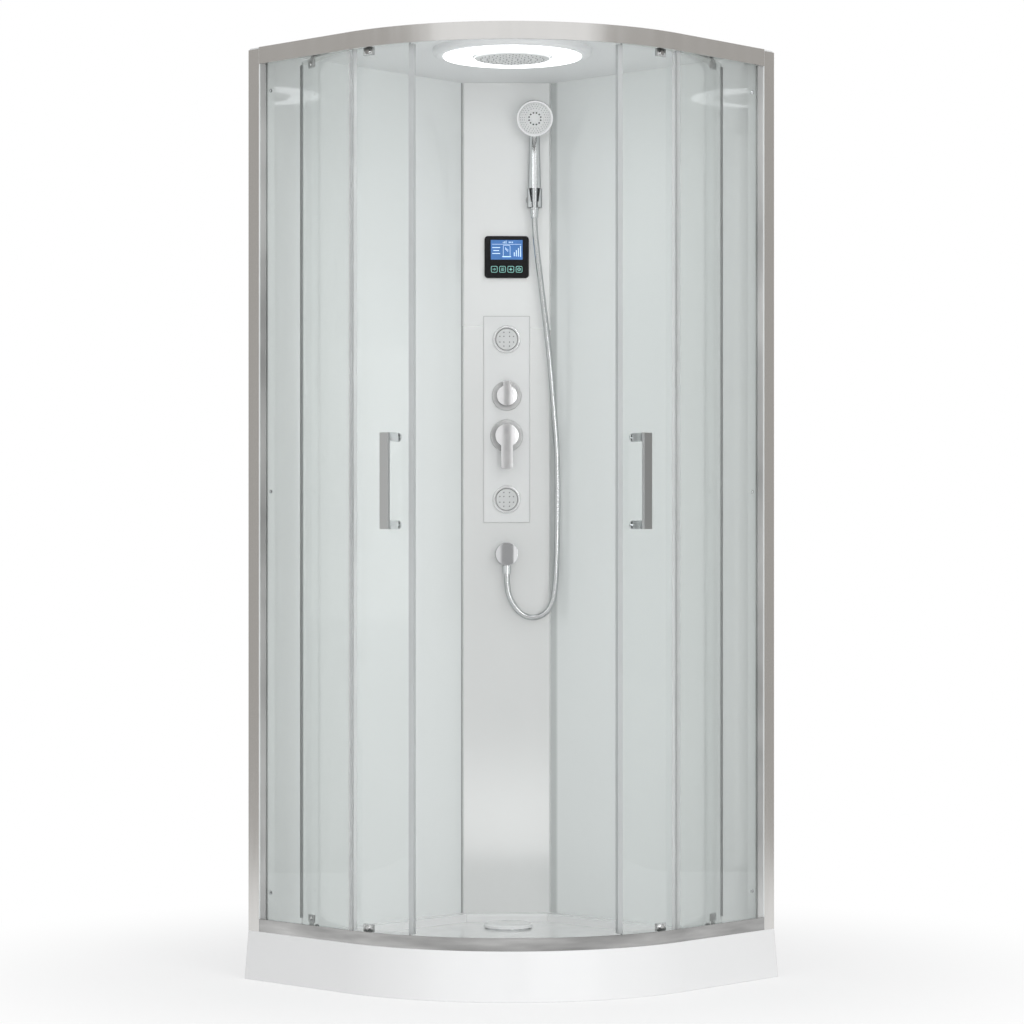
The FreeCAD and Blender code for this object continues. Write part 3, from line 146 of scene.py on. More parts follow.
class CabinFinishes(bpy.types.PropertyGroup):
    """Colours of the cabin's materials."""

    acrylic: tint("Acrylic", "Tray, apron and drain cover", (0.88, 0.88, 0.88))
    panel: tint("Wall panels", "Glossy back walls", (0.86, 0.88, 0.875))
    # Painted shade: grey band on the right wall beside the column.
    painted_edge_shade: tint("Wall edge", "Right wall's shaded edge at the column", (0.60, 0.62, 0.615))
    panel_back: tint("Wall backs", "Plain backs of the wall panels", (0.68, 0.69, 0.69))
    # Painted shade: dark line on the left wall where the gap beside the column lies in shade.
    painted_gap_shade: tint("Wall seam", "Left wall's dark seam at the column", (0.10, 0.105, 0.105))
    column: tint("Column", "Satin corner column", (0.88, 0.885, 0.88))
    plate: tint("Fittings plate", "Plate that carries the jets", (0.82, 0.82, 0.82))
    # Painted shade: grey rim that stands in for the shadow line round the fittings plate.
    plate_seam: tint("Plate seam", "Seam round the fittings plate", (0.58, 0.58, 0.58))
    aluminium: tint("Aluminium", "Posts and top rail", (0.70, 0.69, 0.675))
    # Darker than the posts' aluminium: a painted dark reflection on the polished rail.
    sill: tint("Sill", "Polished bottom rail", (0.38, 0.38, 0.375))
    chrome: tint("Chrome", "Handset, hose outlet, holder, stubs and screws", (0.74, 0.75, 0.76))
    tap_face: tint("Tap faces", "Diverter, mixer and jet rings", (0.88, 0.88, 0.885))
    bar: tint("Handle bars", "Satin bars of the door handles", (0.60, 0.605, 0.605))
    rosette: tint("Rosettes", "Satin plates of the taps", (0.60, 0.60, 0.60))
    carriage: tint("Carriages", "Pressed metal of the carriages", (0.50, 0.50, 0.50))
    glass: tint("Glass", "Tint of the doors' panes", (0.970, 0.982, 0.978))
    # Darker than the doors' glass: painted shade for the outer walls seen through the fixed panes.
    fixed_glass: tint("Fixed glass", "Tint of the fixed panes", (0.895, 0.905, 0.90))
    pane_seal: tint("Pane seals", "Clear profiles on the fixed panes", (0.95, 0.96, 0.96))
    lead_seal: tint("Front seals", "Profiles on the doors' front edges", (0.66, 0.68, 0.68))
    trail_seal: tint("Rear seals", "Greyer profiles on the doors' rear edges", (0.30, 0.31, 0.31))
    gasket: tint("Gaskets", "Grey strips in the posts", (0.48, 0.485, 0.48))
    roof: tint("Roof", "Roof sheet and lamp housing", (0.89, 0.895, 0.90))
    glow: tint("Lamp", "Light of the ceiling ring", (0.96, 0.98, 1.0))
    pale_plastic: tint("Nozzle plates", "Rain head and handset face", (0.86, 0.86, 0.86))
    jet_plate: tint("Jet plates", "Round plates of the body jets", (0.70, 0.70, 0.70))
    nub: tint("Nozzles", "Soft rubber nozzles", (0.40, 0.405, 0.41))
    dark_nub: tint("Dark nozzles", "Nozzles of the jets and the rose", (0.05, 0.05, 0.055))
    # The holder's dark sheet in this colour is painted shade inside the holder.
    display: tint("Display", "Black display front and holder lining", (0.008, 0.008, 0.009))
    screen: tint("Screen", "Lit blue screen", (0.062, 0.178, 0.45))
    mark: tint("Screen marks", "Pale marks on the screen", (0.62, 0.78, 0.95))
    key: tint("Touch keys", "Outlines of the touch keys", (0.27, 0.60, 0.54))
    hose: tint("Hose", "Smooth silver hose", (0.60, 0.61, 0.615))
    steel: tint("Steel", "Tray frame and feet", (0.55, 0.56, 0.58))
    brass: tint("Brass", "Valve bodies", (0.60, 0.44, 0.20))
    pipe: tint("Pipes", "Plastic pipes", (0.84, 0.84, 0.82))
    nylon: tint("Wheels", "Dark nylon door wheels", (0.06, 0.06, 0.062))
    trap: tint("Trap", "Waste trap", (0.30, 0.31, 0.33))


class CabinDetails(bpy.types.PropertyGroup):
    """Sizes of the small pieces that dress the cabin."""

    hose_radius: metres("Hose radius", "Outer radius of the hose", 0.007)
    hose_length: metres("Hose length", "Length of the hose along its line", 1.21)
    hose_stretch: metres("Hose stretch", "Length of hose that follows the handset", 0.28)
    nut_radius: metres("Nut radius", "Radius of the nut under the handset", 0.0100)
    nut_length: metres("Nut length", "Length of the nut under the handset", 0.022)
    nub_radius: metres("Nozzle radius", "Radius of one soft nozzle", 0.0013)
    nub_height: metres("Nozzle height", "Height of one soft nozzle", 0.0014)
    rain_nub_radius: metres("Rain nozzle radius", "Nozzles of the rain head", 0.0016)
    jet_nub_radius: metres("Jet tip radius", "Nozzle tips of the jets", 0.0021)
    jet_nub_depth: metres("Jet tip depth", "Depth of the jets' nozzle tips", 0.0025)
    jet_outer_ring: metres("Outer jet ring", "Circle of eight nozzle tips", 0.0189)
    jet_inner_ring: metres("Inner jet ring", "Circle of four nozzle tips", 0.0103)
    holder_radius: metres("Holder radius", "Outer radius of the handset holder", 0.019)
    holder_slot: metres("Holder slot", "Width of the holder's front slot", 0.015)
    # A dark sheet of painted shade inside the holder, beside its slot.
    holder_shade_width: metres("Lining width", "Dark lining beside the slot at the top", 0.0065)
    holder_shade_height: metres("Lining height", "Height of the dark lining", 0.034)
    face_half: metres("Handset face", "Half the thickness of the handset's face", 0.002)
    face_bow: metres("Face bow", "Rise of the taps' bowed fronts", 0.0018)
    outlet_bow: metres("Outlet bow", "Rise of the hose outlet's bowed front", 0.0010)
    tab_width: metres("Tab width", "Tab on top of the diverter", 0.0175)
    tab_proud: metres("Tab depth", "Ridge of the diverter in front of its disc", 0.005)
    lever_width: metres("Lever width", "Width of the mixer's lever", 0.029)
    lever_corner: metres("Lever corner", "Rounding of the lever's end", 0.006)
    cup_rim: metres("Cup rim", "Rim of the lever's cup beyond its hood", 0.0014)
    cup_depth: metres("Cup depth", "Depth of the lever's cup", 0.0163)
    key_size: metres("Key size", "Side of a touch key", 0.0162)
    key_pitch: metres("Key pitch", "Distance between touch keys", 0.0211)
    key_line: metres("Key line", "Width of the lines on the keys", 0.0010)
    key_drop: metres("Key drop", "Touch keys below the display's middle", 0.0312)
    mark_height: metres("Mark height", "Thickness of the printed marks", 0.0002)
    edge: metres("Edge", "Softened edge of hard pieces", 0.0012)
    bar_depth: metres("Bar depth", "Depth of the handles' bars", 0.0095)
    # Width of the grey rim of painted shade round the fittings plate.
    plate_shade_rim: metres("Plate rim", "Grey seam round the fittings plate", 0.0018)
    # Width of the band of painted shade on the right wall.
    panel_shade: metres("Wall shade", "Width of the right wall's shaded edge", 0.018)
    # Width of the dark line of painted shade on the left wall.
    gap_shade_width: metres("Wall seam", "Width of the left wall's dark seam", 0.0035)
    dull_from: metres("Dull from", "Height where the column's gloss begins to fade", 1.2)
    dull_to: metres("Dull to", "Height where the column is dullest", 2.0)
    ledge_depth: metres("Ledge depth", "Tray ledge in front of the column", 0.030)
    ledge_edge: metres("Ledge edge", "Rounding of the tray ledge", 0.005)
    head_tilt: FloatProperty(
        name="Handset tilt", description="Lean of the handset's face below level",
        subtype="ANGLE", unit="ROTATION", default=math.radians(20))


class CabinStudio(bpy.types.PropertyGroup):
    """Camera and light."""

    camera_across: metres("Camera across", "Camera to the left of the cabin", 0.2)
    camera_back: metres("Camera distance", "Camera in front of the cabin's middle", 7.46)
    camera_height: metres("Camera height", "Height of the level camera", 1.023)
    aim_depth: metres("Aim depth", "Depth of the point aimed at", 0.1135)
    lens: FloatProperty(name="Lens", description="Focal length in millimetres", default=108.28)
    shift: FloatProperty(name="Shift", description="Vertical shift of the frame", default=0.036)
    ambient: FloatProperty(name="Ambient", description="Strength of the even light", default=0.64)
    glow_power: FloatProperty(name="Glow", description="Strength of the ceiling ring", default=2.4)
    key_power: watts("Key light", "Power of the light at the right", 52.0)
    fill_power: watts("Fill light", "Power of the light at the left", 16.0)
    low_power: watts("Low light", "Power of the low light before the doors", 45.0)
    card_shade: portion("Card", "Shade of the card before the doors", 0.38)
    side_shade: portion("Side cards", "Shade of the cards at the sides", 0.47)
    left_bar_shade: portion("Left bar card", "Shade mirrored in the left handle", 0.66)
    right_bar_shade: portion("Right bar card", "Shade mirrored in the right handle", 0.28)


# Material building blocks.

def feed(tree, socket, value):
    """Link a socket to another node's output, or set it to a number, vector or colour."""
    if isinstance(value, bpy.types.NodeSocket):
        tree.links.new(value, socket)
    elif socket.type == "RGBA":
        socket.default_value = (*value, 1.0)
    else:
        socket.default_value = value


def add_node(tree, kind, inputs=(), output=0, **settings):
    """Add a node, feed its inputs in their order or by name, and return one of its outputs."""
    node = tree.nodes.new("ShaderNode" + kind)
    for setting, value in settings.items():
        setattr(node, setting, value)
    for socket, value in inputs.items() if isinstance(inputs, dict) else enumerate(inputs):
        feed(tree, node.inputs[socket], value)
    return node.outputs[output]


def new_material(name, colour, metallic=0.0, roughness=0.4, **sockets):
    """Principled material with plain values on its own sockets."""
    material = bpy.data.materials.new(name)
    material.use_nodes = True
    shader = material.node_tree.nodes["Principled BSDF"]
    shader.inputs["Base Color"].default_value = (*colour, 1.0)
    shader.inputs["Metallic"].default_value = metallic
    shader.inputs["Roughness"].default_value = roughness
    for socket, value in sockets.items():
        shader.inputs[socket.replace("_", " ")].default_value = value
    return material, material.node_tree, shader


def own_place(tree):
    """The cabin's own coordinates."""
    return add_node(tree, "TexCoord", output="Object")


def along(tree, axis):
    """One of the cabin's own coordinates."""
    return add_node(tree, "SeparateXYZ", (own_place(tree),), axis)


def maths(tree, operation, *inputs):
    """Result of a sum, a comparison or the like."""
    return add_node(tree, "Math", inputs, operation=operation)


def noise(tree, scale, stretch=EVEN):
    """Noise in the cabin's own coordinates, with its grain stretched along an axis."""
    spot = add_node(tree, "Mapping", {"Vector": own_place(tree), "Scale": stretch})
    return add_node(tree, "TexNoise", {"Vector": spot, "Scale": scale, "Detail": 3.0}, "Fac")


def remap(tree, value, source, target, smooth=False):
    """Bring a value from one range to another."""
    inputs = {"Value": value, "From Min": source[0], "From Max": source[1],
              "To Min": target[0], "To Max": target[1]}
    style = "SMOOTHSTEP" if smooth else "LINEAR"
    return add_node(tree, "MapRange", inputs, "Result", interpolation_type=style)


def colour_ramp(tree, value, stops, interpolation="LINEAR"):
    """Colours for values from 0 to 1; each stop is a value and a colour."""
    node = tree.nodes.new("ShaderNodeValToRGB")
    node.color_ramp.interpolation = interpolation
    elements = node.color_ramp.elements
    while len(elements) < len(stops):
        elements.new(0.5)
    for element, (position, colour) in zip(elements, stops):
        element.position = position
        element.color = (*colour, 1.0)
    tree.links.new(value, node.inputs["Fac"])
    return node.outputs["Color"]


def mix_colours(tree, mask, first, second):
    """The first colour where a mask is 0, the second where it is 1."""
    inputs = {"Factor": mask, "A": first, "B": second}
    return add_node(tree, "Mix", inputs, "Result", data_type="RGBA")


def show_either(tree, output, mask, first, second):
    """Show the first shader where a mask is 0, the second where it is 1."""
    both = add_node(tree, "MixShader", (mask, first, second))
    tree.links.new(both, tree.nodes[output].inputs["Surface"])


def any_ray(tree, *kinds):
    """Mask of some kinds of rays."""
    path = tree.nodes.new("ShaderNodeLightPath")
    rays = [path.outputs[f"Is {kind} Ray"] for kind in kinds]
    mask = rays[0]
    for ray in rays[1:]:
        mask = maths(tree, "MAXIMUM", mask, ray)
    return mask


def bands(tree, value, low, high, stops):
    """Colours along a coordinate; each stop is a place and a colour."""
    stops = [((place - low) / (high - low), colour) for place, colour in stops]
    return colour_ramp(tree, remap(tree, value, (low, high), (0.0, 1.0)), stops, "EASE")


def outwards(tree):
    """How far out a point lies, square to the wall panel on its side."""
    across = maths(tree, "ABSOLUTE", along(tree, "X"))
    return maths(tree, "ADD", across, along(tree, "Y"))


def outward_places(name):
    """How far out each point of a node lies, measured in the same way."""
    return [abs(vertex.co.x) + vertex.co.y for vertex in frame["nodes"][name].data.vertices]


def vary_roughness(tree, shader, low, high, scale, stretch=EVEN):
    """Uneven gloss."""
    value = remap(tree, noise(tree, scale, stretch), NOISE_RANGE, (low, high))
    tree.links.new(value, shader.inputs["Roughness"])


def vary_colour(tree, shader, colour, share, scale, stretch=EVEN):
    """Slight unevenness of a colour."""
    shades = [[min(part * (1.0 + sign * share), 1.0) for part in colour] for sign in (-1, 1)]
    mottled = colour_ramp(tree, noise(tree, scale, stretch), list(zip(NOISE_RANGE, shades)))
    tree.links.new(mottled, shader.inputs["Base Color"])


def surface(tree, shader, edge=0.0, bump=0.0, scale=100.0, stretch=EVEN):
    """Softened edges and a fine relief."""
    inputs = {}
    if edge:
        inputs["Normal"] = add_node(tree, "Bevel", {"Radius": edge}, samples=4)
    if bump:
        inputs.update(Strength=0.5, Distance=bump, Height=noise(tree, scale, stretch))
        inputs["Normal"] = add_node(tree, "Bump", inputs)
    if inputs:
        tree.links.new(inputs["Normal"], shader.inputs["Normal"])


def finish(name, colour, gloss, metallic=0.0, cloud=(), relief=(), edge=0.0, **sockets):
    """Material with an uneven gloss, and where given a cloudy colour, a relief and soft edges.

    The gloss is (low, high, scale), the cloud (share, scale) and the relief (height, scale).
    Each may end with the stretch of its grain.
    """
    material, tree, shader = new_material(name, colour, metallic, **sockets)
    if cloud:
        vary_colour(tree, shader, colour, *cloud)
    vary_roughness(tree, shader, *gloss)
    surface(tree, shader, edge, *relief)
    return material


def dress(material, *names):
    """Give CAD nodes a material."""
    for name in names:
        slots = frame["nodes"][name].data.materials
        slots.clear()
        slots.append(material)


def panel_material(finishes, details, side):
    """Glossy wall panel with painted shade beside the column, and greyer on its back."""
    node = f"{side}_wall_panel"
    material, tree, shader = new_material(f"wall_panel_{side}", finishes.panel, Coat_Weight=0.8,
                                          Coat_Roughness=0.02)
    low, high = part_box(node)
    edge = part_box("column_panel")[1].x
    shade = details.panel_shade
    # On the left wall, a dark line of painted shade in the gap beside the column.
    stops = [(-edge - details.gap_shade_width, finishes.panel), (-edge, finishes.painted_gap_shade)]
    # On the right wall, a grey band of painted shade beside the column.
    if side == "right":
        stops = [(edge, finishes.painted_edge_shade), (edge + shade * 0.6, finishes.painted_edge_shade),
                 (edge + shade, finishes.panel)]
    front = bands(tree, along(tree, "X"), low.x, high.x, stops)
    outside = max(outward_places(node)) - details.edge
    on_back = maths(tree, "GREATER_THAN", outwards(tree), outside)
    colour = mix_colours(tree, on_back, front, finishes.panel_back)
    tree.links.new(colour, shader.inputs["Base Color"])
    vary_roughness(tree, shader, 0.02, 0.05, 5.0)
    return material


def column_material(finishes, details):
    """Satin silver white sheet, duller towards its top."""
    material, tree, shader = new_material("satin_column", finishes.column, 0.32)
    vary_colour(tree, shader, finishes.column, 0.02, 2.0, (1.0, 1.0, 0.6))
    satin = remap(tree, noise(tree, 4.0), NOISE_RANGE, (0.15, 0.18))
    heights = (details.dull_from, details.dull_to)
    dull = remap(tree, along(tree, "Z"), heights, (satin, 0.40), smooth=True)
    tree.links.new(dull, shader.inputs["Roughness"])
    surface(tree, shader, details.edge)
    return material


def post_material(finishes, edge):
    """Anodised post with a pale cover on the leg inside the cabin."""
    material, tree, shader = new_material("post_aluminium", finishes.aluminium, 1.0)
    inside = min(outward_places("left_post")) + edge / 4
    on_leg = maths(tree, "LESS_THAN", outwards(tree), inside)
    metal = maths(tree, "SUBTRACT", 1.0, on_leg)
    colour = mix_colours(tree, on_leg, finishes.aluminium, finishes.panel)
    tree.links.new(metal, shader.inputs["Metallic"])
    tree.links.new(colour, shader.inputs["Base Color"])
    vary_roughness(tree, shader, *ANODISED)
    surface(tree, shader, edge)
    return material


def chrome_material(name, colour, edge, low, high, metallic=1.0):
    """Chrome plate with faint water marks, and a painted dark reflection where it turns away."""
    return finish(name, colour, (low, high, 55.0), metallic, edge=edge, Specular_Tint=PAINTED_DARK_RIM)


def handle_material(finishes, edge, bar_radius):
    """Satin grey bar on chrome stubs; the stubs lie nearer to the arc's centre."""
    material, tree, shader = new_material("handle_metal", finishes.bar, 1.0)
    centre = (0.0, ARC_CENTRE.y, 0.0)
    offset = add_node(tree, "VectorMath", (own_place(tree), centre), operation="SUBTRACT")
    level = add_node(tree, "VectorMath", (offset, (1.0, 1.0, 0.0)), operation="MULTIPLY")
    reach = add_node(tree, "VectorMath", (level,), "Value", operation="LENGTH")
    on_bar = maths(tree, "GREATER_THAN", reach, bar_radius)
    colour = mix_colours(tree, on_bar, finishes.chrome, finishes.bar)
    tree.links.new(colour, shader.inputs["Base Color"])
    gloss = remap(tree, on_bar, (0.0, 1.0), (0.07, 0.34))
    tree.links.new(gloss, shader.inputs["Roughness"])
    surface(tree, shader, edge, 0.00002, 600.0, (1.0, 1.0, 0.02))
    return material


def glass_material(name, colour):
    """Clear pane that lets light through."""
    material, tree, shader = new_material(name, colour, 0.0, 0.0, Transmission_Weight=1.0, IOR=1.45)
    surface(tree, shader, 0.0, 0.000004, 3.0)
    clear = add_node(tree, "BsdfTransparent", (colour,))
    lighting = any_ray(tree, "Shadow", "Diffuse")
    show_either(tree, "Material Output", lighting, shader.outputs["BSDF"], clear)
    return material


def seal_material(name, colour, clear):
    """Translucent flexible profile, a little uneven along its length."""
    return finish(name, colour, (0.28, 0.38, 4.0), cloud=(0.03, 4.0), Transmission_Weight=clear,
                  IOR=1.3)


def plastic_material(name, colour, low, high, edge=0.0):
    """Moulded plastic or rubber, a little uneven."""
    return finish(name, colour, (low, high, 45.0), cloud=(0.03, 14.0), edge=edge)


def metal_material(name, colour, low, high, edge, spots):
    """Plain metal with a cloudy surface."""
    return finish(name, colour, (low, high, spots), 1.0, (0.12, spots), (0.00005, 300.0), edge)


def lit_material(name, colour, strength, cloud=()):
    """Self-lit surface that may be a little uneven."""
    material, tree, shader = new_material(name, colour, 0.0, 0.25, Emission_Color=(*colour, 1.0),
                                          Emission_Strength=strength)
    if cloud:
        vary_colour(tree, shader, colour, *cloud)
    return material


# Mesh building blocks.

def box_of(name):
    """Lowest corner, highest corner and middle of a node."""
    low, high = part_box(name)
    return low, high, (low + high) / 2


def new_piece(name, builder, material, body, smooth=False):
    """Make a piece from a mesh that is already in place, and let it ride on a body."""
    mesh = bpy.data.meshes.new(name)
    bmesh.ops.recalc_face_normals(builder, faces=builder.faces)
    builder.to_mesh(mesh)
    builder.free()
    if smooth:
        mesh.polygons.foreach_set("use_smooth", [True] * len(mesh.polygons))
    mesh.materials.append(material)
    piece = bpy.data.objects.new(name, mesh)
    bpy.context.scene.collection.objects.link(piece)
    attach(piece, body)


def rounded_square(x, z, width, height, corner, steps=5):
    """Outline of a rectangle with round corners."""
    points = []
    for index, (sign_x, sign_z) in enumerate(((1, 1), (-1, 1), (-1, -1), (1, -1))):
        middle_x = x + sign_x * (width / 2 - corner)
        middle_z = z + sign_z * (height / 2 - corner)
        for step in range(steps + 1):
            turn = QUARTER * (index + step / steps)
            points.append((middle_x + corner * math.cos(turn), middle_z + corner * math.sin(turn)))
    return points


def round_outline(x, z, radius, steps=24):
    """Outline of a circle."""
    turns = [2 * math.pi * step / steps for step in range(steps)]
    return [(x + radius * math.cos(turn), z + radius * math.sin(turn)) for turn in turns]


def strip(builder, first, second):
    """Faces between two rows of points."""
    for index in range(len(first) - 1):
        builder.faces.new((first[index], first[index + 1], second[index + 1], second[index]))


def raise_mark(builder, outline, back, front, hole=None):
    """Thin solid mark on an upright face, with a hole where an inner outline is given."""
    rows = []
    for loop in (outline, hole) if hole else (outline,):
        for depth in (back, front):
            rows.append([builder.verts.new((x, depth, z)) for x, z in loop])
    walls = [(rows[0], rows[1])]
    if hole:
        walls += [(rows[3], rows[2]), (rows[1], rows[3]), (rows[2], rows[0])]
    else:
        builder.faces.new(rows[0])
        builder.faces.new(rows[1])
    for first, second in walls:
        strip(builder, first + first[:1], second + second[:1])


def spin_profile(builder, profile, matrix, steps):
    """Closed solid turned from a (radius, height) profile that starts and ends on the axis."""
    rings = []
    for radius, height in profile:
        circle = round_outline(0.0, 0.0, radius, steps if radius else 1)
        rings.append([builder.verts.new(matrix @ Vector((x, y, height))) for x, y in circle])
    for low, high in zip(rings, rings[1:]):
        for step in range(steps):
            after = (step + 1) % steps
            corners = (low[step % len(low)], low[after % len(low)],
                       high[after % len(high)], high[step % len(high)])
            builder.faces.new(list(dict.fromkeys(corners)))


def turned_solid(profile, matrix, steps):
    """Mesh of one turned solid."""
    builder = bmesh.new()
    spin_profile(builder, profile, matrix, steps)
    return builder


def nub_rings(rings, radius, height, matrix):
    """Mesh of soft round nozzles in rings on a disc; a ring is a count and a circle's radius."""
    profile = [(0, 0), (radius, 0), (radius * 0.85, height * 0.7), (radius * 0.5, height),
               (0, height)]
    builder = bmesh.new()
    for count, circle in rings:
        for step in range(count):
            turn = 2 * math.pi * (step + 0.5) / count
            spot = Matrix.Translation((circle * math.cos(turn), circle * math.sin(turn), 0))
            spin_profile(builder, profile, matrix @ spot, NUB_STEPS)
    return builder


def bowed_plate(spans, centre, back, front, bow):
    """Mesh of an upright plate with a bowed front; a span is (x, low, high)."""
    builder = bmesh.new()
    half = max(abs(span[0]) for span in spans)
    columns = []
    for x, low, high in spans:
        y = front - bow * (1 - (x / half) ** 2)
        corners = ((y, low), (y, high), (back, high), (back, low))
        points = [(centre.x + x, depth, centre.z + z) for depth, z in corners]
        columns.append([builder.verts.new(point) for point in points])
    for first, second in zip(columns, columns[1:]):
        for index in range(4):
            after = (index + 1) % 4
            face = builder.faces.new((first[index], second[index], second[after], first[after]))
            face.smooth = index == 0
    builder.faces.new(columns[0])
    builder.faces.new(columns[-1])
    for edge in builder.edges:
        edge.smooth = all(face.smooth for face in edge.link_faces)
    return builder


def disc_spans(radius, half_tab=0.0, above=0.0, below=0.0, soft=0.0, steps=40):
    """Spans of a disc with an optional tab above it or arm below it."""
    turns = [math.pi * (step + 0.25) / (steps + 0.5) for step in range(steps + 1)]
    places = [-radius * math.cos(turn) for turn in turns]
    for edge in (half_tab, half_tab * 1.03):
        places.extend([-edge, edge] if edge else [])
    spans = []
    for x in sorted(places):
        reach = math.sqrt(radius ** 2 - x ** 2)
        low, high = -reach, reach
        if abs(x) <= half_tab:
            drop = soft * (1 - math.sqrt(1 - (x / half_tab) ** 2))
            low = min(low, drop - below)
            high = max(high, above - drop)
        spans.append((x, low, high))
    return spans


class CabinOperator:
    """Shared access to the cabin's settings."""

    bl_options = {"REGISTER", "UNDO"}

    @property
    def finishes(self):
        return bpy.context.scene.cabin_finishes

    @property
    def details(self):
        return bpy.context.scene.cabin_details

    @property
    def studio(self):
        return bpy.context.scene.cabin_studio


class CABIN_OT_hose(CabinOperator, bpy.types.Operator):
    """Smooth silver hose between the outlet and the handset"""

    bl_idname = "cabin.hose"
    bl_label = "Hose"

    def curve_mesh(self, bevel):
        """Mesh of the hose's smooth line, or of the hose itself."""
        curve = bpy.data.curves.new("hose_line", "CURVE")
        curve.dimensions = "3D"
        curve.bevel_depth = bevel
        curve.bevel_resolution = 5
        curve.use_fill_caps = True
        spline = curve.splines.new("NURBS")
        spline.points.add(len(HOSE_POINTS) - 1)
        for point, place in zip(spline.points, HOSE_POINTS):
            point.co = (*place, 1.0)
        spline.order_u = 3
        spline.use_endpoint_u = True
        spline.resolution_u = 10
        line = bpy.data.objects.new("hose_line", curve)
        bpy.context.scene.collection.objects.link(line)
        bpy.context.view_layer.update()
        graph = bpy.context.evaluated_depsgraph_get()
        mesh = bpy.data.meshes.new_from_object(line.evaluated_get(graph))
        bpy.data.objects.remove(line)
        bpy.data.curves.remove(curve)
        return mesh

    def execute(self, context):
        details = self.details
        path = [vertex.co.copy() for vertex in self.curve_mesh(0.0).vertices]
        mesh = self.curve_mesh(details.hose_radius)
        mesh.polygons.foreach_set("use_smooth", [True] * len(mesh.polygons))
        hose = bpy.data.objects.new("silver_hose", mesh)
        context.scene.collection.objects.link(hose)
        relief = (0.00005, 260.0, (0.4, 0.4, 1.0))
        # The dark rim tint paints a dark reflection along the hose's sides.
        silver = finish("silver_hose", self.finishes.hose, (0.13, 0.2, 30.0), 1.0, relief=relief,
                        Specular_Tint=PAINTED_DARK_RIM)
        mesh.materials.clear()
        mesh.materials.append(silver)
        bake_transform(hose)
        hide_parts("shower_hose")
        return {"FINISHED"}


class CABIN_OT_tray(CabinOperator, bpy.types.Operator):
    """White tray, apron and drain cover"""

    bl_idname = "cabin.tray"
    bl_label = "Tray"

    def corner_ledge(self, material):
        """Ledge that closes the basin's corner under the column."""
        details = self.details
        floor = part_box("drain_flange")[0].z
        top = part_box("column_panel")[0].z
        corner = max(vertex.co.y for vertex in frame["nodes"]["tray"].data.vertices
                     if abs(vertex.co.z - floor) < details.mark_height)
        front = COLUMN_FACE - details.ledge_depth
        soft = details.ledge_edge
        profile = [(front, floor), (front, top - soft), (front + soft * 0.3, top - soft * 0.3),
                   (front + soft, top)]
        builder = bmesh.new()
        left, right = [[builder.verts.new((sign * (corner - y), y, z)) for y, z in profile]
                       for sign in (-1, 1)]
        tip = [builder.verts.new((0.0, corner, z)) for z in (top, floor)]
        strip(builder, left, right)
        builder.faces.new((left[-1], right[-1], tip[0]))
        builder.faces.new((left[0], right[0], tip[1]))
        for row in (left, right):
            builder.faces.new((*row, *tip))
        new_piece("corner_ledge", builder, material, "cabin")

    def execute(self, context):
        acrylic = finish("white_acrylic", self.finishes.acrylic, (0.14, 0.24, 9.0),
                         relief=(0.0001, 3.0), edge=self.details.edge * 2, Coat_Weight=0.4,
                         Coat_Roughness=0.04)
        dress(acrylic, "tray", "apron", "drain_cover")
        self.corner_ledge(acrylic)
        return {"FINISHED"}


class CABIN_OT_walls(CabinOperator, bpy.types.Operator):
    """Glossy wall panels, satin column, fittings plate and roof"""

    bl_idname = "cabin.walls"
    bl_label = "Walls and roof"

    def plate_seam(self):
        """Grey rim of painted shade, standing in for the shadow line round the fittings plate."""
        low, high, middle = box_of("fittings_plate")
        rim = self.details.plate_shade_rim
        width = high.x - low.x
        height = high.z - low.z
        outer = rounded_square(middle.x, middle.z, width + 2 * rim, height + 2 * rim, rim)
        inner = rounded_square(middle.x, middle.z, width, height, rim / 4)
        builder = bmesh.new()
        raise_mark(builder, outer, high.y, middle.y, inner)
        seam = plastic_material("plate_seam", self.finishes.plate_seam, 0.4, 0.5)
        new_piece("plate_seam", builder, seam, "cabin")

    def execute(self, context):
        finishes = self.finishes
        for side in SIDES:
            dress(panel_material(finishes, self.details, side), f"{side}_wall_panel")
        dress(column_material(finishes, self.details), "column_panel")
        plate = finish("fittings_plate", finishes.plate, (0.34, 0.42, 6.0), 0.1, (0.015, 3.0),
                       edge=self.details.edge / 2)
        dress(plate, "fittings_plate")
        self.plate_seam()
        roof = finish("roof_white", finishes.roof, (0.42, 0.5, 4.0), cloud=(0.012, 3.0))
        dress(roof, "roof_panel", "lamp_housing")
        return {"FINISHED"}


class CABIN_OT_frame(CabinOperator, bpy.types.Operator):
    """Posts, rails and gaskets"""

    bl_idname = "cabin.frame"
    bl_label = "Frame"

    def execute(self, context):
        finishes = self.finishes
        edge = self.details.edge
        dress(finish("satin_aluminium", finishes.aluminium, ANODISED, 1.0, edge=edge), "top_rail")
        dress(post_material(finishes, edge), "left_post", "right_post")
        # Streaks of painted reflection in the sill's colour, on a base darkened to paint its dark
        # reflection.
        painted_reflection_streaks = (0.35, 4.0, (1.0, 1.0, 6.0))
        bright = finish("polished_aluminium", finishes.sill, (0.07, 0.14, 6.0), 1.0, painted_reflection_streaks,
                        edge=edge)
        dress(bright, "bottom_rail")
        wear = (0.3, 5.0, (1.0, 1.0, 0.7))
        rubber = finish("dark_rubber", finishes.gasket, (0.32, 0.38, 8.0), 0.3, wear)
        dress(rubber, "post_gaskets")
        return {"FINISHED"}


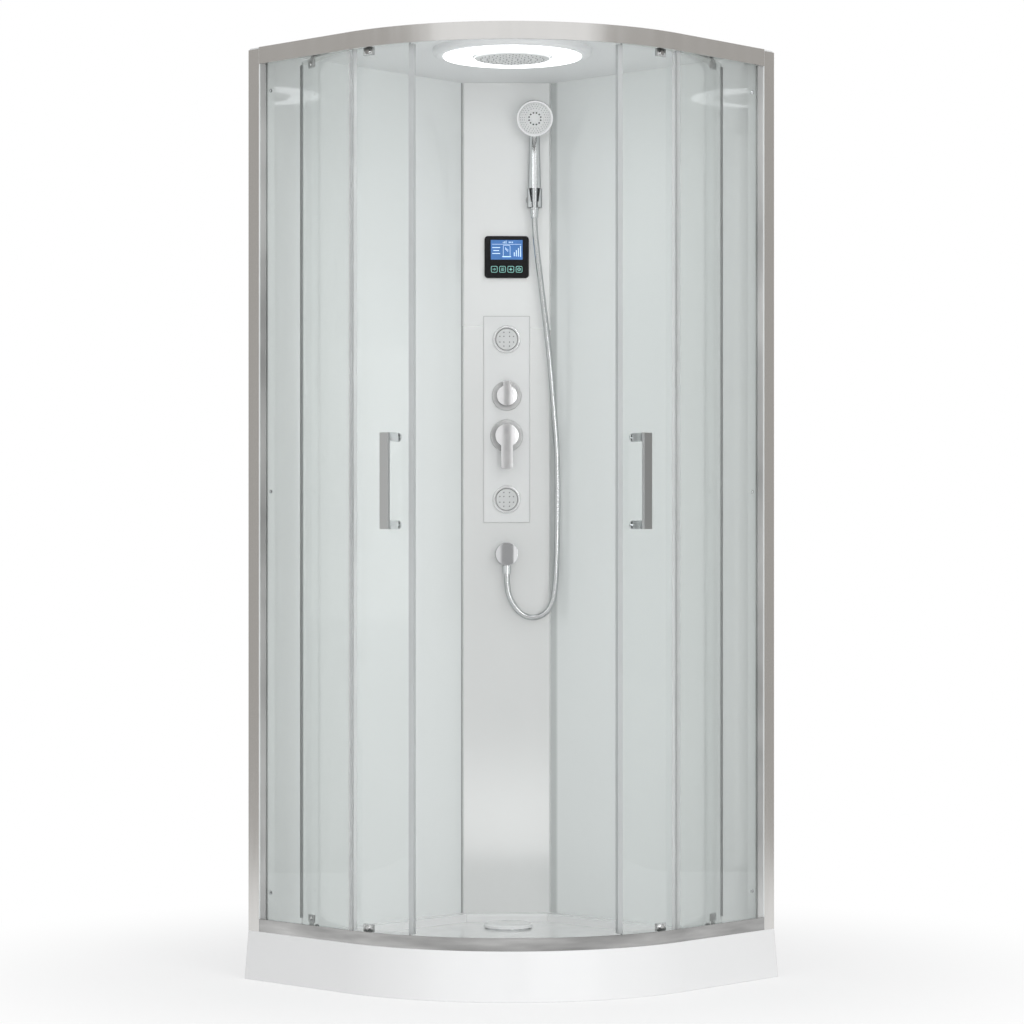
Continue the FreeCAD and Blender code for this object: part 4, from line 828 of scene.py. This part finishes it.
class CABIN_OT_glass(CabinOperator, bpy.types.Operator):
    """Panes and their seals"""

    bl_idname = "cabin.glass"
    bl_label = "Glass"

    def execute(self, context):
        pane = glass_material("clear_glass", self.finishes.glass)
        # The fixed panes' darker tint paints shade on the outer walls behind them.
        fixed = glass_material("fixed_glass", self.finishes.fixed_glass)
        clear = seal_material("clear_seal", self.finishes.pane_seal, 0.75)
        pale = seal_material("pale_seal", self.finishes.lead_seal, 0.35)
        grey = seal_material("grey_seal", self.finishes.trail_seal, 0.3)
        dress(clear, "fixed_glass_seals")
        for side in SIDES:
            dress(pane, f"{side}_door_glass")
            dress(fixed, f"{side}_fixed_glass")
            dress(pale, f"{side}_lead_seal")
            dress(grey, f"{side}_trail_seal")
        return {"FINISHED"}


class CABIN_OT_doors(CabinOperator, bpy.types.Operator):
    """Handles, carriages and wheels of the doors, and the frame's screws"""

    bl_idname = "cabin.doors"
    bl_label = "Door fittings"

    def execute(self, context):
        finishes = self.finishes
        edge = self.details.edge
        reach = max((Vector(vertex.co.xy) - ARC_CENTRE.xy).length
                    for vertex in frame["nodes"]["right_handle"].data.vertices)
        bar = handle_material(finishes, edge, reach - self.details.bar_depth)
        chrome = chrome_material("chrome_fixing", finishes.chrome, edge, 0.05, 0.12)
        pressed = metal_material("pressed_metal", finishes.carriage, 0.16, 0.24, edge, 60.0)
        nylon = plastic_material("dark_nylon", finishes.nylon, 0.35, 0.5)
        dress(chrome, "frame_screws")
        for side in SIDES:
            dress(bar, f"{side}_handle")
            dress(chrome, f"{side}_handle_fixings")
            dress(pressed, f"{side}_carriages")
            for end in ("top", "bottom"):
                for place in ("front", "rear"):
                    dress(nylon, f"{side}_{end}_{place}_wheel")
        return {"FINISHED"}


class CABIN_OT_lamp(CabinOperator, bpy.types.Operator):
    """Glowing ceiling ring and the rain head in its middle"""

    bl_idname = "cabin.lamp"
    bl_label = "Ceiling lamp"

    def execute(self, context):
        finishes = self.finishes
        dress(lit_material("lamp_glow", finishes.glow, self.studio.glow_power), "led_ring")
        plate = plastic_material("pale_plate", finishes.pale_plastic, 0.3, 0.42, self.details.edge)
        dress(plate, "rain_head")
        low, high, middle = box_of("rain_head")
        under = Matrix.Translation((middle.x, middle.y, low.z)) @ Matrix.Rotation(math.pi, 4, "X")
        spacing = (high.x - low.x) / 2 / (RAIN_RINGS + 1)
        rings = [(6 * index, spacing * index) for index in range(1, RAIN_RINGS + 1)]
        radius = self.details.rain_nub_radius
        nub = plastic_material("soft_nozzle", finishes.nub, 0.45, 0.6)
        nozzles = nub_rings(rings, radius, radius, under)
        new_piece("rain_nozzles", nozzles, nub, "cabin", smooth=True)
        return {"FINISHED"}


class CABIN_OT_display(CabinOperator, bpy.types.Operator):
    """Control display with a lit screen, plain marks and touch keys"""

    bl_idname = "cabin.display"
    bl_label = "Display"

    def screen_marks(self, middle, half_width, half_height, back, front):
        """Header line, level bars and a plain outline of a cabin."""
        builder = bmesh.new()

        def bar(x, z, width, height):
            corner = min(width, height) * 0.2
            x = middle.x + x * half_width
            z = middle.z + z * half_height
            raise_mark(builder, rounded_square(x, z, width, height, corner), back, front)

        unit = half_width / 20
        bar(0.0, 0.56, half_width * 1.84, unit * 0.5)
        for index, height in enumerate((1.6, 2.6, 3.6)):
            bar(-0.22 + 0.09 * index, 0.70 + 0.045 * height / 2, unit * 0.8, unit * height)
        for index in range(3):
            bar(0.16 + 0.10 * index, 0.77, unit * 1.3, unit * 1.3)
        for row, share in enumerate((0.50, 0.36, 0.50)):
            bar(-0.66, 0.22 - 0.30 * row, half_width * share, unit)
        z = middle.z - half_height * 0.14
        outer = rounded_square(middle.x, z, unit * 9, unit * 15, unit * 1.5)
        inner = rounded_square(middle.x, z, unit * 8, unit * 14, unit)
        raise_mark(builder, outer, back, front, inner)
        bar(0.0, -0.70, unit * 11, unit * 1.2)
        for index in range(3):
            bar(-0.07 + 0.07 * index, 0.12 - 0.1 * index, unit * 0.7, unit * 3.2)
        for index, height in enumerate((5, 8, 11, 14)):
            bar(0.48 + 0.13 * index, -0.62 + height * 0.033, unit * 1.1, unit * height)
        return builder

    def key_marks(self, middle, back, front):
        """Outlined touch keys, each with a plain sign."""
        builder = bmesh.new()
        size = self.details.key_size
        line = self.details.key_line
        inner = size - 2 * line
        z = middle.z - self.details.key_drop

        def mark(x, z, width, height, corner):
            raise_mark(builder, rounded_square(x, z, width, height, corner), back, front)

        for index in range(4):
            x = middle.x + (index - 1.5) * self.details.key_pitch
            outline = rounded_square(x, z, size, size, size * 0.2)
            opening = rounded_square(x, z, inner, inner, size * 0.2 - line * 0.8)
            raise_mark(builder, outline, back, front, opening)
            if index == 0:
                for share in (-0.2, 0.0, 0.2):
                    mark(x + share * size, z, line, size * (0.42 - abs(share)), line * 0.4)
            elif index == 1:
                for share in (-0.18, 0.0, 0.18):
                    mark(x, z + share * size, size * 0.46, line, line * 0.4)
            elif index == 2:
                mark(x, z, size * 0.5, line * 1.4, line * 0.5)
                arm = size * 0.25 - line * 0.7
                for sign in (-1, 1):
                    mark(x, z + sign * (line * 0.7 + arm / 2), line * 1.4, arm, line * 0.5)
            else:
                ring = round_outline(x, z, size * 0.26)
                raise_mark(builder, ring, back, front, round_outline(x, z, size * 0.26 - line))
                raise_mark(builder, round_outline(x, z, size * 0.07), back, front)
        return builder

    def execute(self, context):
        finishes = self.finishes
        height = self.details.mark_height
        black = finish("black_glass", finishes.display, (0.08, 0.16, 60.0), edge=self.details.edge,
                       Coat_Weight=0.2, Coat_Roughness=0.03, Specular_IOR_Level=0.3)
        dress(black, "display_glass")
        dress(lit_material("lit_screen", finishes.screen, 0.36, (0.2, 18.0)), "display_screen")
        low, high, middle = box_of("display_screen")
        half = (high - low) / 2
        marks = self.screen_marks(middle, half.x, half.z, low.y, low.y - height)
        pale = lit_material("screen_marks", finishes.mark, 0.42, (0.05, 40.0))
        new_piece("screen_marks", marks, pale, "cabin")
        low, _, middle = box_of("display_glass")
        keys = self.key_marks(middle, low.y, low.y - height)
        teal = lit_material("touch_keys", finishes.key, 0.62, (0.08, 40.0))
        new_piece("touch_keys", keys, teal, "cabin")
        return {"FINISHED"}


class CABIN_OT_taps(CabinOperator, bpy.types.Operator):
    """Jets, diverter, mixer, hose outlet and handset holder"""

    bl_idname = "cabin.taps"
    bl_label = "Taps and jets"

    def jet_tips(self):
        """Plates of the jets with two rings of dark nozzle tips."""
        details = self.details
        plate = plastic_material("jet_plate", self.finishes.jet_plate, 0.28, 0.4, details.edge)
        dark = plastic_material("dark_nozzle", self.finishes.dark_nub, 0.4, 0.55)
        rings = [(8, details.jet_outer_ring), (4, details.jet_inner_ring)]
        depth = details.jet_nub_depth
        height = depth + details.mark_height * 2
        for name in ("upper_jet_nozzle", "lower_jet_nozzle"):
            dress(plate, name)
            low, _, middle = box_of(name)
            face = Matrix.Translation((middle.x, low.y + depth, middle.z)) @ FACING
            tips = nub_rings(rings, details.jet_nub_radius, height, face)
            new_piece(name.replace("nozzle", "tips"), tips, dark, name, smooth=True)

    def holder_lining(self):
        """Dark sheet of painted shade inside the holder, at both sides of its slot."""
        details = self.details
        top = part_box("handset_holder")[1].z
        centre = HOSE_POINTS[-1]
        rows = 8
        columns = 6
        builder = bmesh.new()
        for sign in (-1, 1):
            skins = []
            for radius in (details.holder_radius, details.holder_radius + details.mark_height):
                skin = []
                for row in range(rows + 1):
                    share = row / rows
                    width = details.holder_shade_width * (1 - 0.65 * share)
                    z = top - details.holder_shade_height * share
                    line = []
                    for column in range(columns + 1):
                        x = details.holder_slot / 2 + width * column / columns
                        y = centre.y - math.sqrt(radius ** 2 - x ** 2)
                        line.append(builder.verts.new((centre.x + sign * x, y, z)))
                    skin.append(line)
                for first, second in zip(skin, skin[1:]):
                    strip(builder, first, second)
                skins.append(skin)
            inner, outer = skins
            for end in (0, -1):
                strip(builder, [line[end] for line in inner], [line[end] for line in outer])
                strip(builder, inner[end], outer[end])
        black = plastic_material("holder_lining", self.finishes.display, 0.35, 0.5)
        new_piece("holder_lining", builder, black, "cabin")

    def bowed_faces(self, chrome, soft):
        """Bowed fronts of the outlet, the diverter and the mixer's lever."""
        details = self.details
        thin = details.mark_height
        low, high, middle = box_of("hose_outlet")
        radius = (high.x - low.x) / 2
        bow = details.outlet_bow
        centre = Vector((middle.x, low.y, high.z - radius))
        plate = bowed_plate(disc_spans(radius - thin), centre, low.y + bow * 3, low.y - thin, bow)
        new_piece("outlet_face", plate, chrome, "cabin")

        low, high, middle = box_of("diverter_knob")
        radius = (high.x - low.x) / 2
        bow = details.face_bow
        centre = Vector((middle.x, low.y, low.z + radius))
        spans = disc_spans(radius - thin, details.tab_width / 2, high.z - centre.z, 0.0, thin)
        plate = bowed_plate(spans, centre, low.y + details.tab_proud, low.y + bow * 0.7, bow)
        new_piece("diverter_face", plate, soft, "diverter_knob")

        low, high, middle = box_of("mixer_lever")
        hood = (high.x - low.x) / 2
        radius = hood + details.cup_rim
        centre = Vector((middle.x, low.y, high.z - hood))
        spans = disc_spans(radius, details.lever_width / 2, 0.0, centre.z - low.z,
                           details.lever_corner)
        plate = bowed_plate(spans, centre, low.y + bow, low.y - thin, bow)
        new_piece("mixer_face", plate, soft, "mixer_lever")
        skirt = -details.cup_depth
        profile = [(0, -bow), (radius * 0.44, -bow), (radius * 0.91, skirt), (radius, skirt),
                   (radius, 0), (0, 0)]
        cup = turned_solid(profile, Matrix.Translation(centre) @ FACING, steps=64)
        new_piece("mixer_cup", cup, soft, "mixer_lever")

    def execute(self, context):
        finishes = self.finishes
        edge = self.details.edge
        chrome = chrome_material("chrome", finishes.chrome, edge, 0.035, 0.09)
        dress(chrome, "mixer_spindle", "hose_outlet", "handset_holder", "drain_flange")
        soft = chrome_material("soft_chrome", finishes.tap_face, edge, 0.12, 0.18)
        dress(soft, "diverter_knob", "mixer_lever")
        pale = chrome_material("pale_chrome", finishes.tap_face, edge, 0.10, 0.14, 0.5)
        dress(pale, "jet_rings")
        satin = metal_material("satin_rosette", finishes.rosette, 0.34, 0.42, edge, 30.0)
        dress(satin, "escutcheons")
        self.jet_tips()
        self.holder_lining()
        self.bowed_faces(chrome, soft)
        return {"FINISHED"}


class CABIN_OT_handset(CabinOperator, bpy.types.Operator):
    """Handset with its soft nozzles and the nut of the hose"""

    bl_idname = "cabin.handset"
    bl_label = "Handset"

    def face_pieces(self, plate):
        """Nozzles and rose on the handset's face."""
        details = self.details
        low, high, middle = box_of("handset_face")
        lean = Matrix.Rotation(QUARTER + details.head_tilt, 4, "X")
        face = Matrix.Translation(middle) @ lean @ Matrix.Translation((0, 0, details.face_half))
        radius = (high.x - low.x) / 2
        rise = details.nub_height
        nub = plastic_material("handset_nozzle", self.finishes.nub, 0.45, 0.6)
        rings = [(24, radius * 0.66), (30, radius * 0.79), (36, radius * 0.91)]
        nozzles = nub_rings(rings, details.nub_radius, rise, face)
        new_piece("handset_nozzles", nozzles, nub, "handset", smooth=True)
        profile = [(0, 0), (radius * 0.57, 0), (radius * 0.55, rise), (radius * 0.51, rise),
                   (radius * 0.49, rise * 0.4), (radius * 0.26, rise * 0.4), (radius * 0.23, rise),
                   (0, rise * 1.3)]
        rose = turned_solid(profile, face, steps=48)
        new_piece("handset_rose", rose, plate, "handset")
        dark = plastic_material("handset_jet", self.finishes.dark_nub, 0.45, 0.6)
        groove = face @ Matrix.Translation((0, 0, rise * 0.3))
        jets = nub_rings([(12, radius * 0.38)], details.nub_radius * 1.7, rise, groove)
        new_piece("handset_jets", jets, dark, "handset", smooth=True)

    def hose_nut(self, chrome):
        """Nut that joins the hose to the handset."""
        length = self.details.nut_length
        wide = self.details.nut_radius
        profile = [(0, 0), (wide, 0), (wide, -length * 0.45), (wide * 0.93, -length * 0.5),
                   (wide * 0.93, -length * 0.85), (self.details.hose_radius * 1.04, -length),
                   (0, -length)]
        nut = turned_solid(profile, Matrix.Translation(HOSE_POINTS[-1]), steps=32)
        new_piece("handset_nut", nut, chrome, "handset")

    def execute(self, context):
        finishes = self.finishes
        edge = self.details.edge
        chrome = chrome_material("handset_chrome", finishes.chrome, edge, 0.04, 0.09)
        dress(chrome, "handset")
        plate = plastic_material("handset_plate", finishes.pale_plastic, 0.28, 0.4, edge)
        dress(plate, "handset_face")
        self.face_pieces(plate)
        self.hose_nut(chrome)
        return {"FINISHED"}


class CABIN_OT_hidden(CabinOperator, bpy.types.Operator):
    """Frame under the tray, waste trap, valves and pipes"""

    bl_idname = "cabin.hidden"
    bl_label = "Hidden works"

    def execute(self, context):
        finishes = self.finishes
        edge = self.details.edge
        steel = metal_material("galvanised_steel", finishes.steel, 0.35, 0.55, edge, 70.0)
        dress(steel, "tray_frame", "levelling_feet")
        dress(plastic_material("grey_plastic", finishes.trap, 0.4, 0.55, edge), "drain_trap")
        dress(metal_material("brass", finishes.brass, 0.3, 0.45, edge, 45.0), "valve_bodies")
        dress(plastic_material("white_pipe", finishes.pipe, 0.35, 0.5), "water_pipes")
        return {"FINISHED"}


class CABIN_OT_stage(CabinOperator, bpy.types.Operator):
    """Pale floor, soft light, white surroundings and the camera"""

    bl_idname = "cabin.stage"
    bl_label = "Stage"

    def flat_card(self, name, size, matrix, material):
        """Flat rectangle that belongs to the stage."""
        width, height = size
        builder = bmesh.new()
        corners = [(-width / 2, -height / 2, 0), (width / 2, -height / 2, 0),
                   (width / 2, height / 2, 0), (-width / 2, height / 2, 0)]
        builder.faces.new([builder.verts.new(matrix @ Vector(corner)) for corner in corners])
        mesh = bpy.data.meshes.new(name)
        builder.to_mesh(mesh)
        builder.free()
        mesh.materials.append(material)
        card = bpy.data.objects.new(name, mesh)
        bpy.context.scene.collection.objects.link(card)
        return card

    def make_world(self):
        """White for what is seen, a little less for what lights the cabin."""
        world = bpy.data.worlds.new("studio")
        world.use_nodes = True
        tree = world.node_tree
        seen = tree.nodes["Background"]
        seen.inputs["Color"].default_value = (*WHITE, 1.0)
        seen.inputs["Strength"].default_value = 1.0
        light = add_node(tree, "Background", ((0.98, 0.99, 1.0), self.studio.ambient))
        mask = any_ray(tree, *SEEN_RAYS)
        show_either(tree, "World Output", mask, light, seen.outputs["Background"])
        bpy.context.scene.world = world

    def make_floor(self):
        """Pale floor that fades into the white surroundings."""
        material, tree, shader = new_material("pale_floor", (0.93, 0.93, 0.93), 0.0, 0.9)
        reach = add_node(tree, "VectorMath", (own_place(tree),), "Value", operation="LENGTH")
        fade = remap(tree, reach, FLOOR_FADE, (FLOOR_WHITE, 1.0), smooth=True)
        mask = maths(tree, "MULTIPLY", fade, any_ray(tree, *SEEN_RAYS))
        white = add_node(tree, "Emission")
        show_either(tree, "Material Output", mask, shader.outputs["BSDF"], white)
        self.flat_card("floor", (FLOOR_SIDE, FLOOR_SIDE), Matrix.Identity(4), material)

    def mirror_card(self, name, place, size, turn, colour, strength):
        """Glowing card that shows only in mirrored metal and glass."""
        material, tree, shader = new_material(
            name, BLACK, 0.0, 1.0, Emission_Color=(*colour, 1.0), Emission_Strength=strength)
        card = self.flat_card(name, size, Matrix.Translation(place) @ turn, material)
        card.visible_camera = False
        card.visible_diffuse = False
        card.visible_transmission = False
        card.visible_shadow = False
        return tree, shader

    def make_cards(self):
        """Cards before the doors, at the sides and for the handles' bars."""
        studio = self.studio
        place, size = FRONT_CARD
        tree, shader = self.mirror_card("front_card", place, size, FACING, WHITE, 1.0)
        left = place[0] - size[0] / 2
        right = place[0] + size[0] / 2
        # Nearly white at the left, dark before the doors' gap and white again.
        pale = (0.84,) * 3
        dark = (studio.card_shade,) * 3
        stops = [(left, WHITE), (-0.27, pale), (-0.10, dark), (0.36, dark), (0.42, WHITE)]
        shade = bands(tree, along(tree, "X"), left, right, stops)
        tree.links.new(shade, shader.inputs["Emission Color"])
        for sign, bar_shade in ((-1, studio.left_bar_shade), (1, studio.right_bar_shade)):
            sides = (("side_card", SIDE_CARD, (1.0, 0.97, 0.93), studio.side_shade),
                     ("bar_card", BAR_CARD, (0.98, 1.0, 0.99), bar_shade))
            for name, ((x, y, z), size), colour, strength in sides:
                place = (sign * x, y, z)
                self.mirror_card(f"{name}_{sign + 1}", place, size, SIDEWAYS, colour, strength)

    def make_lamp(self, name, place, target, size):
        """Wide soft lamp that no metal or glass mirrors."""
        data = bpy.data.lights.new(name, "AREA")
        data.shape = "RECTANGLE"
        data.size, data.size_y = size
        data.energy = getattr(self.studio, name + "_power")
        lamp = bpy.data.objects.new(name, data)
        lamp.location = place
        lamp.visible_glossy = False
        lamp.rotation_euler = (Vector(target) - Vector(place)).to_track_quat("-Z", "Y").to_euler()
        bpy.context.scene.collection.objects.link(lamp)

    def make_camera(self):
        """Level camera, a little to the left of the cabin's diagonal."""
        studio = self.studio
        data = bpy.data.cameras.new("camera")
        data.lens = studio.lens
        data.shift_y = studio.shift
        camera = bpy.data.objects.new("camera", data)
        camera.location = (-studio.camera_across, -studio.camera_back, studio.camera_height)
        aim = Vector((0.0, -studio.aim_depth, studio.camera_height))
        camera.rotation_euler = (aim - camera.location).to_track_quat("-Z", "Y").to_euler()
        bpy.context.scene.collection.objects.link(camera)
        bpy.context.scene.camera = camera

    def execute(self, context):
        context.scene.view_settings.view_transform = "Standard"
        self.make_world()
        self.make_floor()
        self.make_cards()
        for name, (place, target, size) in LAMPS.items():
            self.make_lamp(name, place, target, size)
        self.make_camera()
        return {"FINISHED"}


OPERATORS = (
    CABIN_OT_stage, CABIN_OT_hose, CABIN_OT_tray, CABIN_OT_walls, CABIN_OT_frame, CABIN_OT_glass,
    CABIN_OT_doors, CABIN_OT_lamp, CABIN_OT_display, CABIN_OT_taps, CABIN_OT_handset,
    CABIN_OT_hidden,
)


class CABIN_PT_panel(bpy.types.Panel):
    """Lists the steps that dress the cabin"""

    bl_idname = "CABIN_PT_panel"
    bl_label = "Shower cabin"
    bl_space_type = "VIEW_3D"
    bl_region_type = "UI"
    bl_category = "Cabin"

    def draw(self, context):
        for operator in OPERATORS:
            self.layout.operator(operator.bl_idname)


GROUPS = {
    "cabin_finishes": CabinFinishes,
    "cabin_details": CabinDetails,
    "cabin_studio": CabinStudio,
}


def register():
    """Register the classes and hang the settings on the scene."""
    for item in (*GROUPS.values(), *OPERATORS, CABIN_PT_panel):
        bpy.utils.register_class(item)
    for name, group in GROUPS.items():
        setattr(bpy.types.Scene, name, PointerProperty(type=group))


def unregister():
    """Undo register."""
    for name in GROUPS:
        delattr(bpy.types.Scene, name)
    for item in (CABIN_PT_panel, *reversed(OPERATORS), *GROUPS.values()):
        bpy.utils.unregister_class(item)


def main():
    """Register the add-on and dress the cabin."""
    register()
    for operator in OPERATORS:
        group, name = operator.bl_idname.split(".")
        getattr(getattr(bpy.ops, group), name)()


if __name__ == "__main__":
    main()
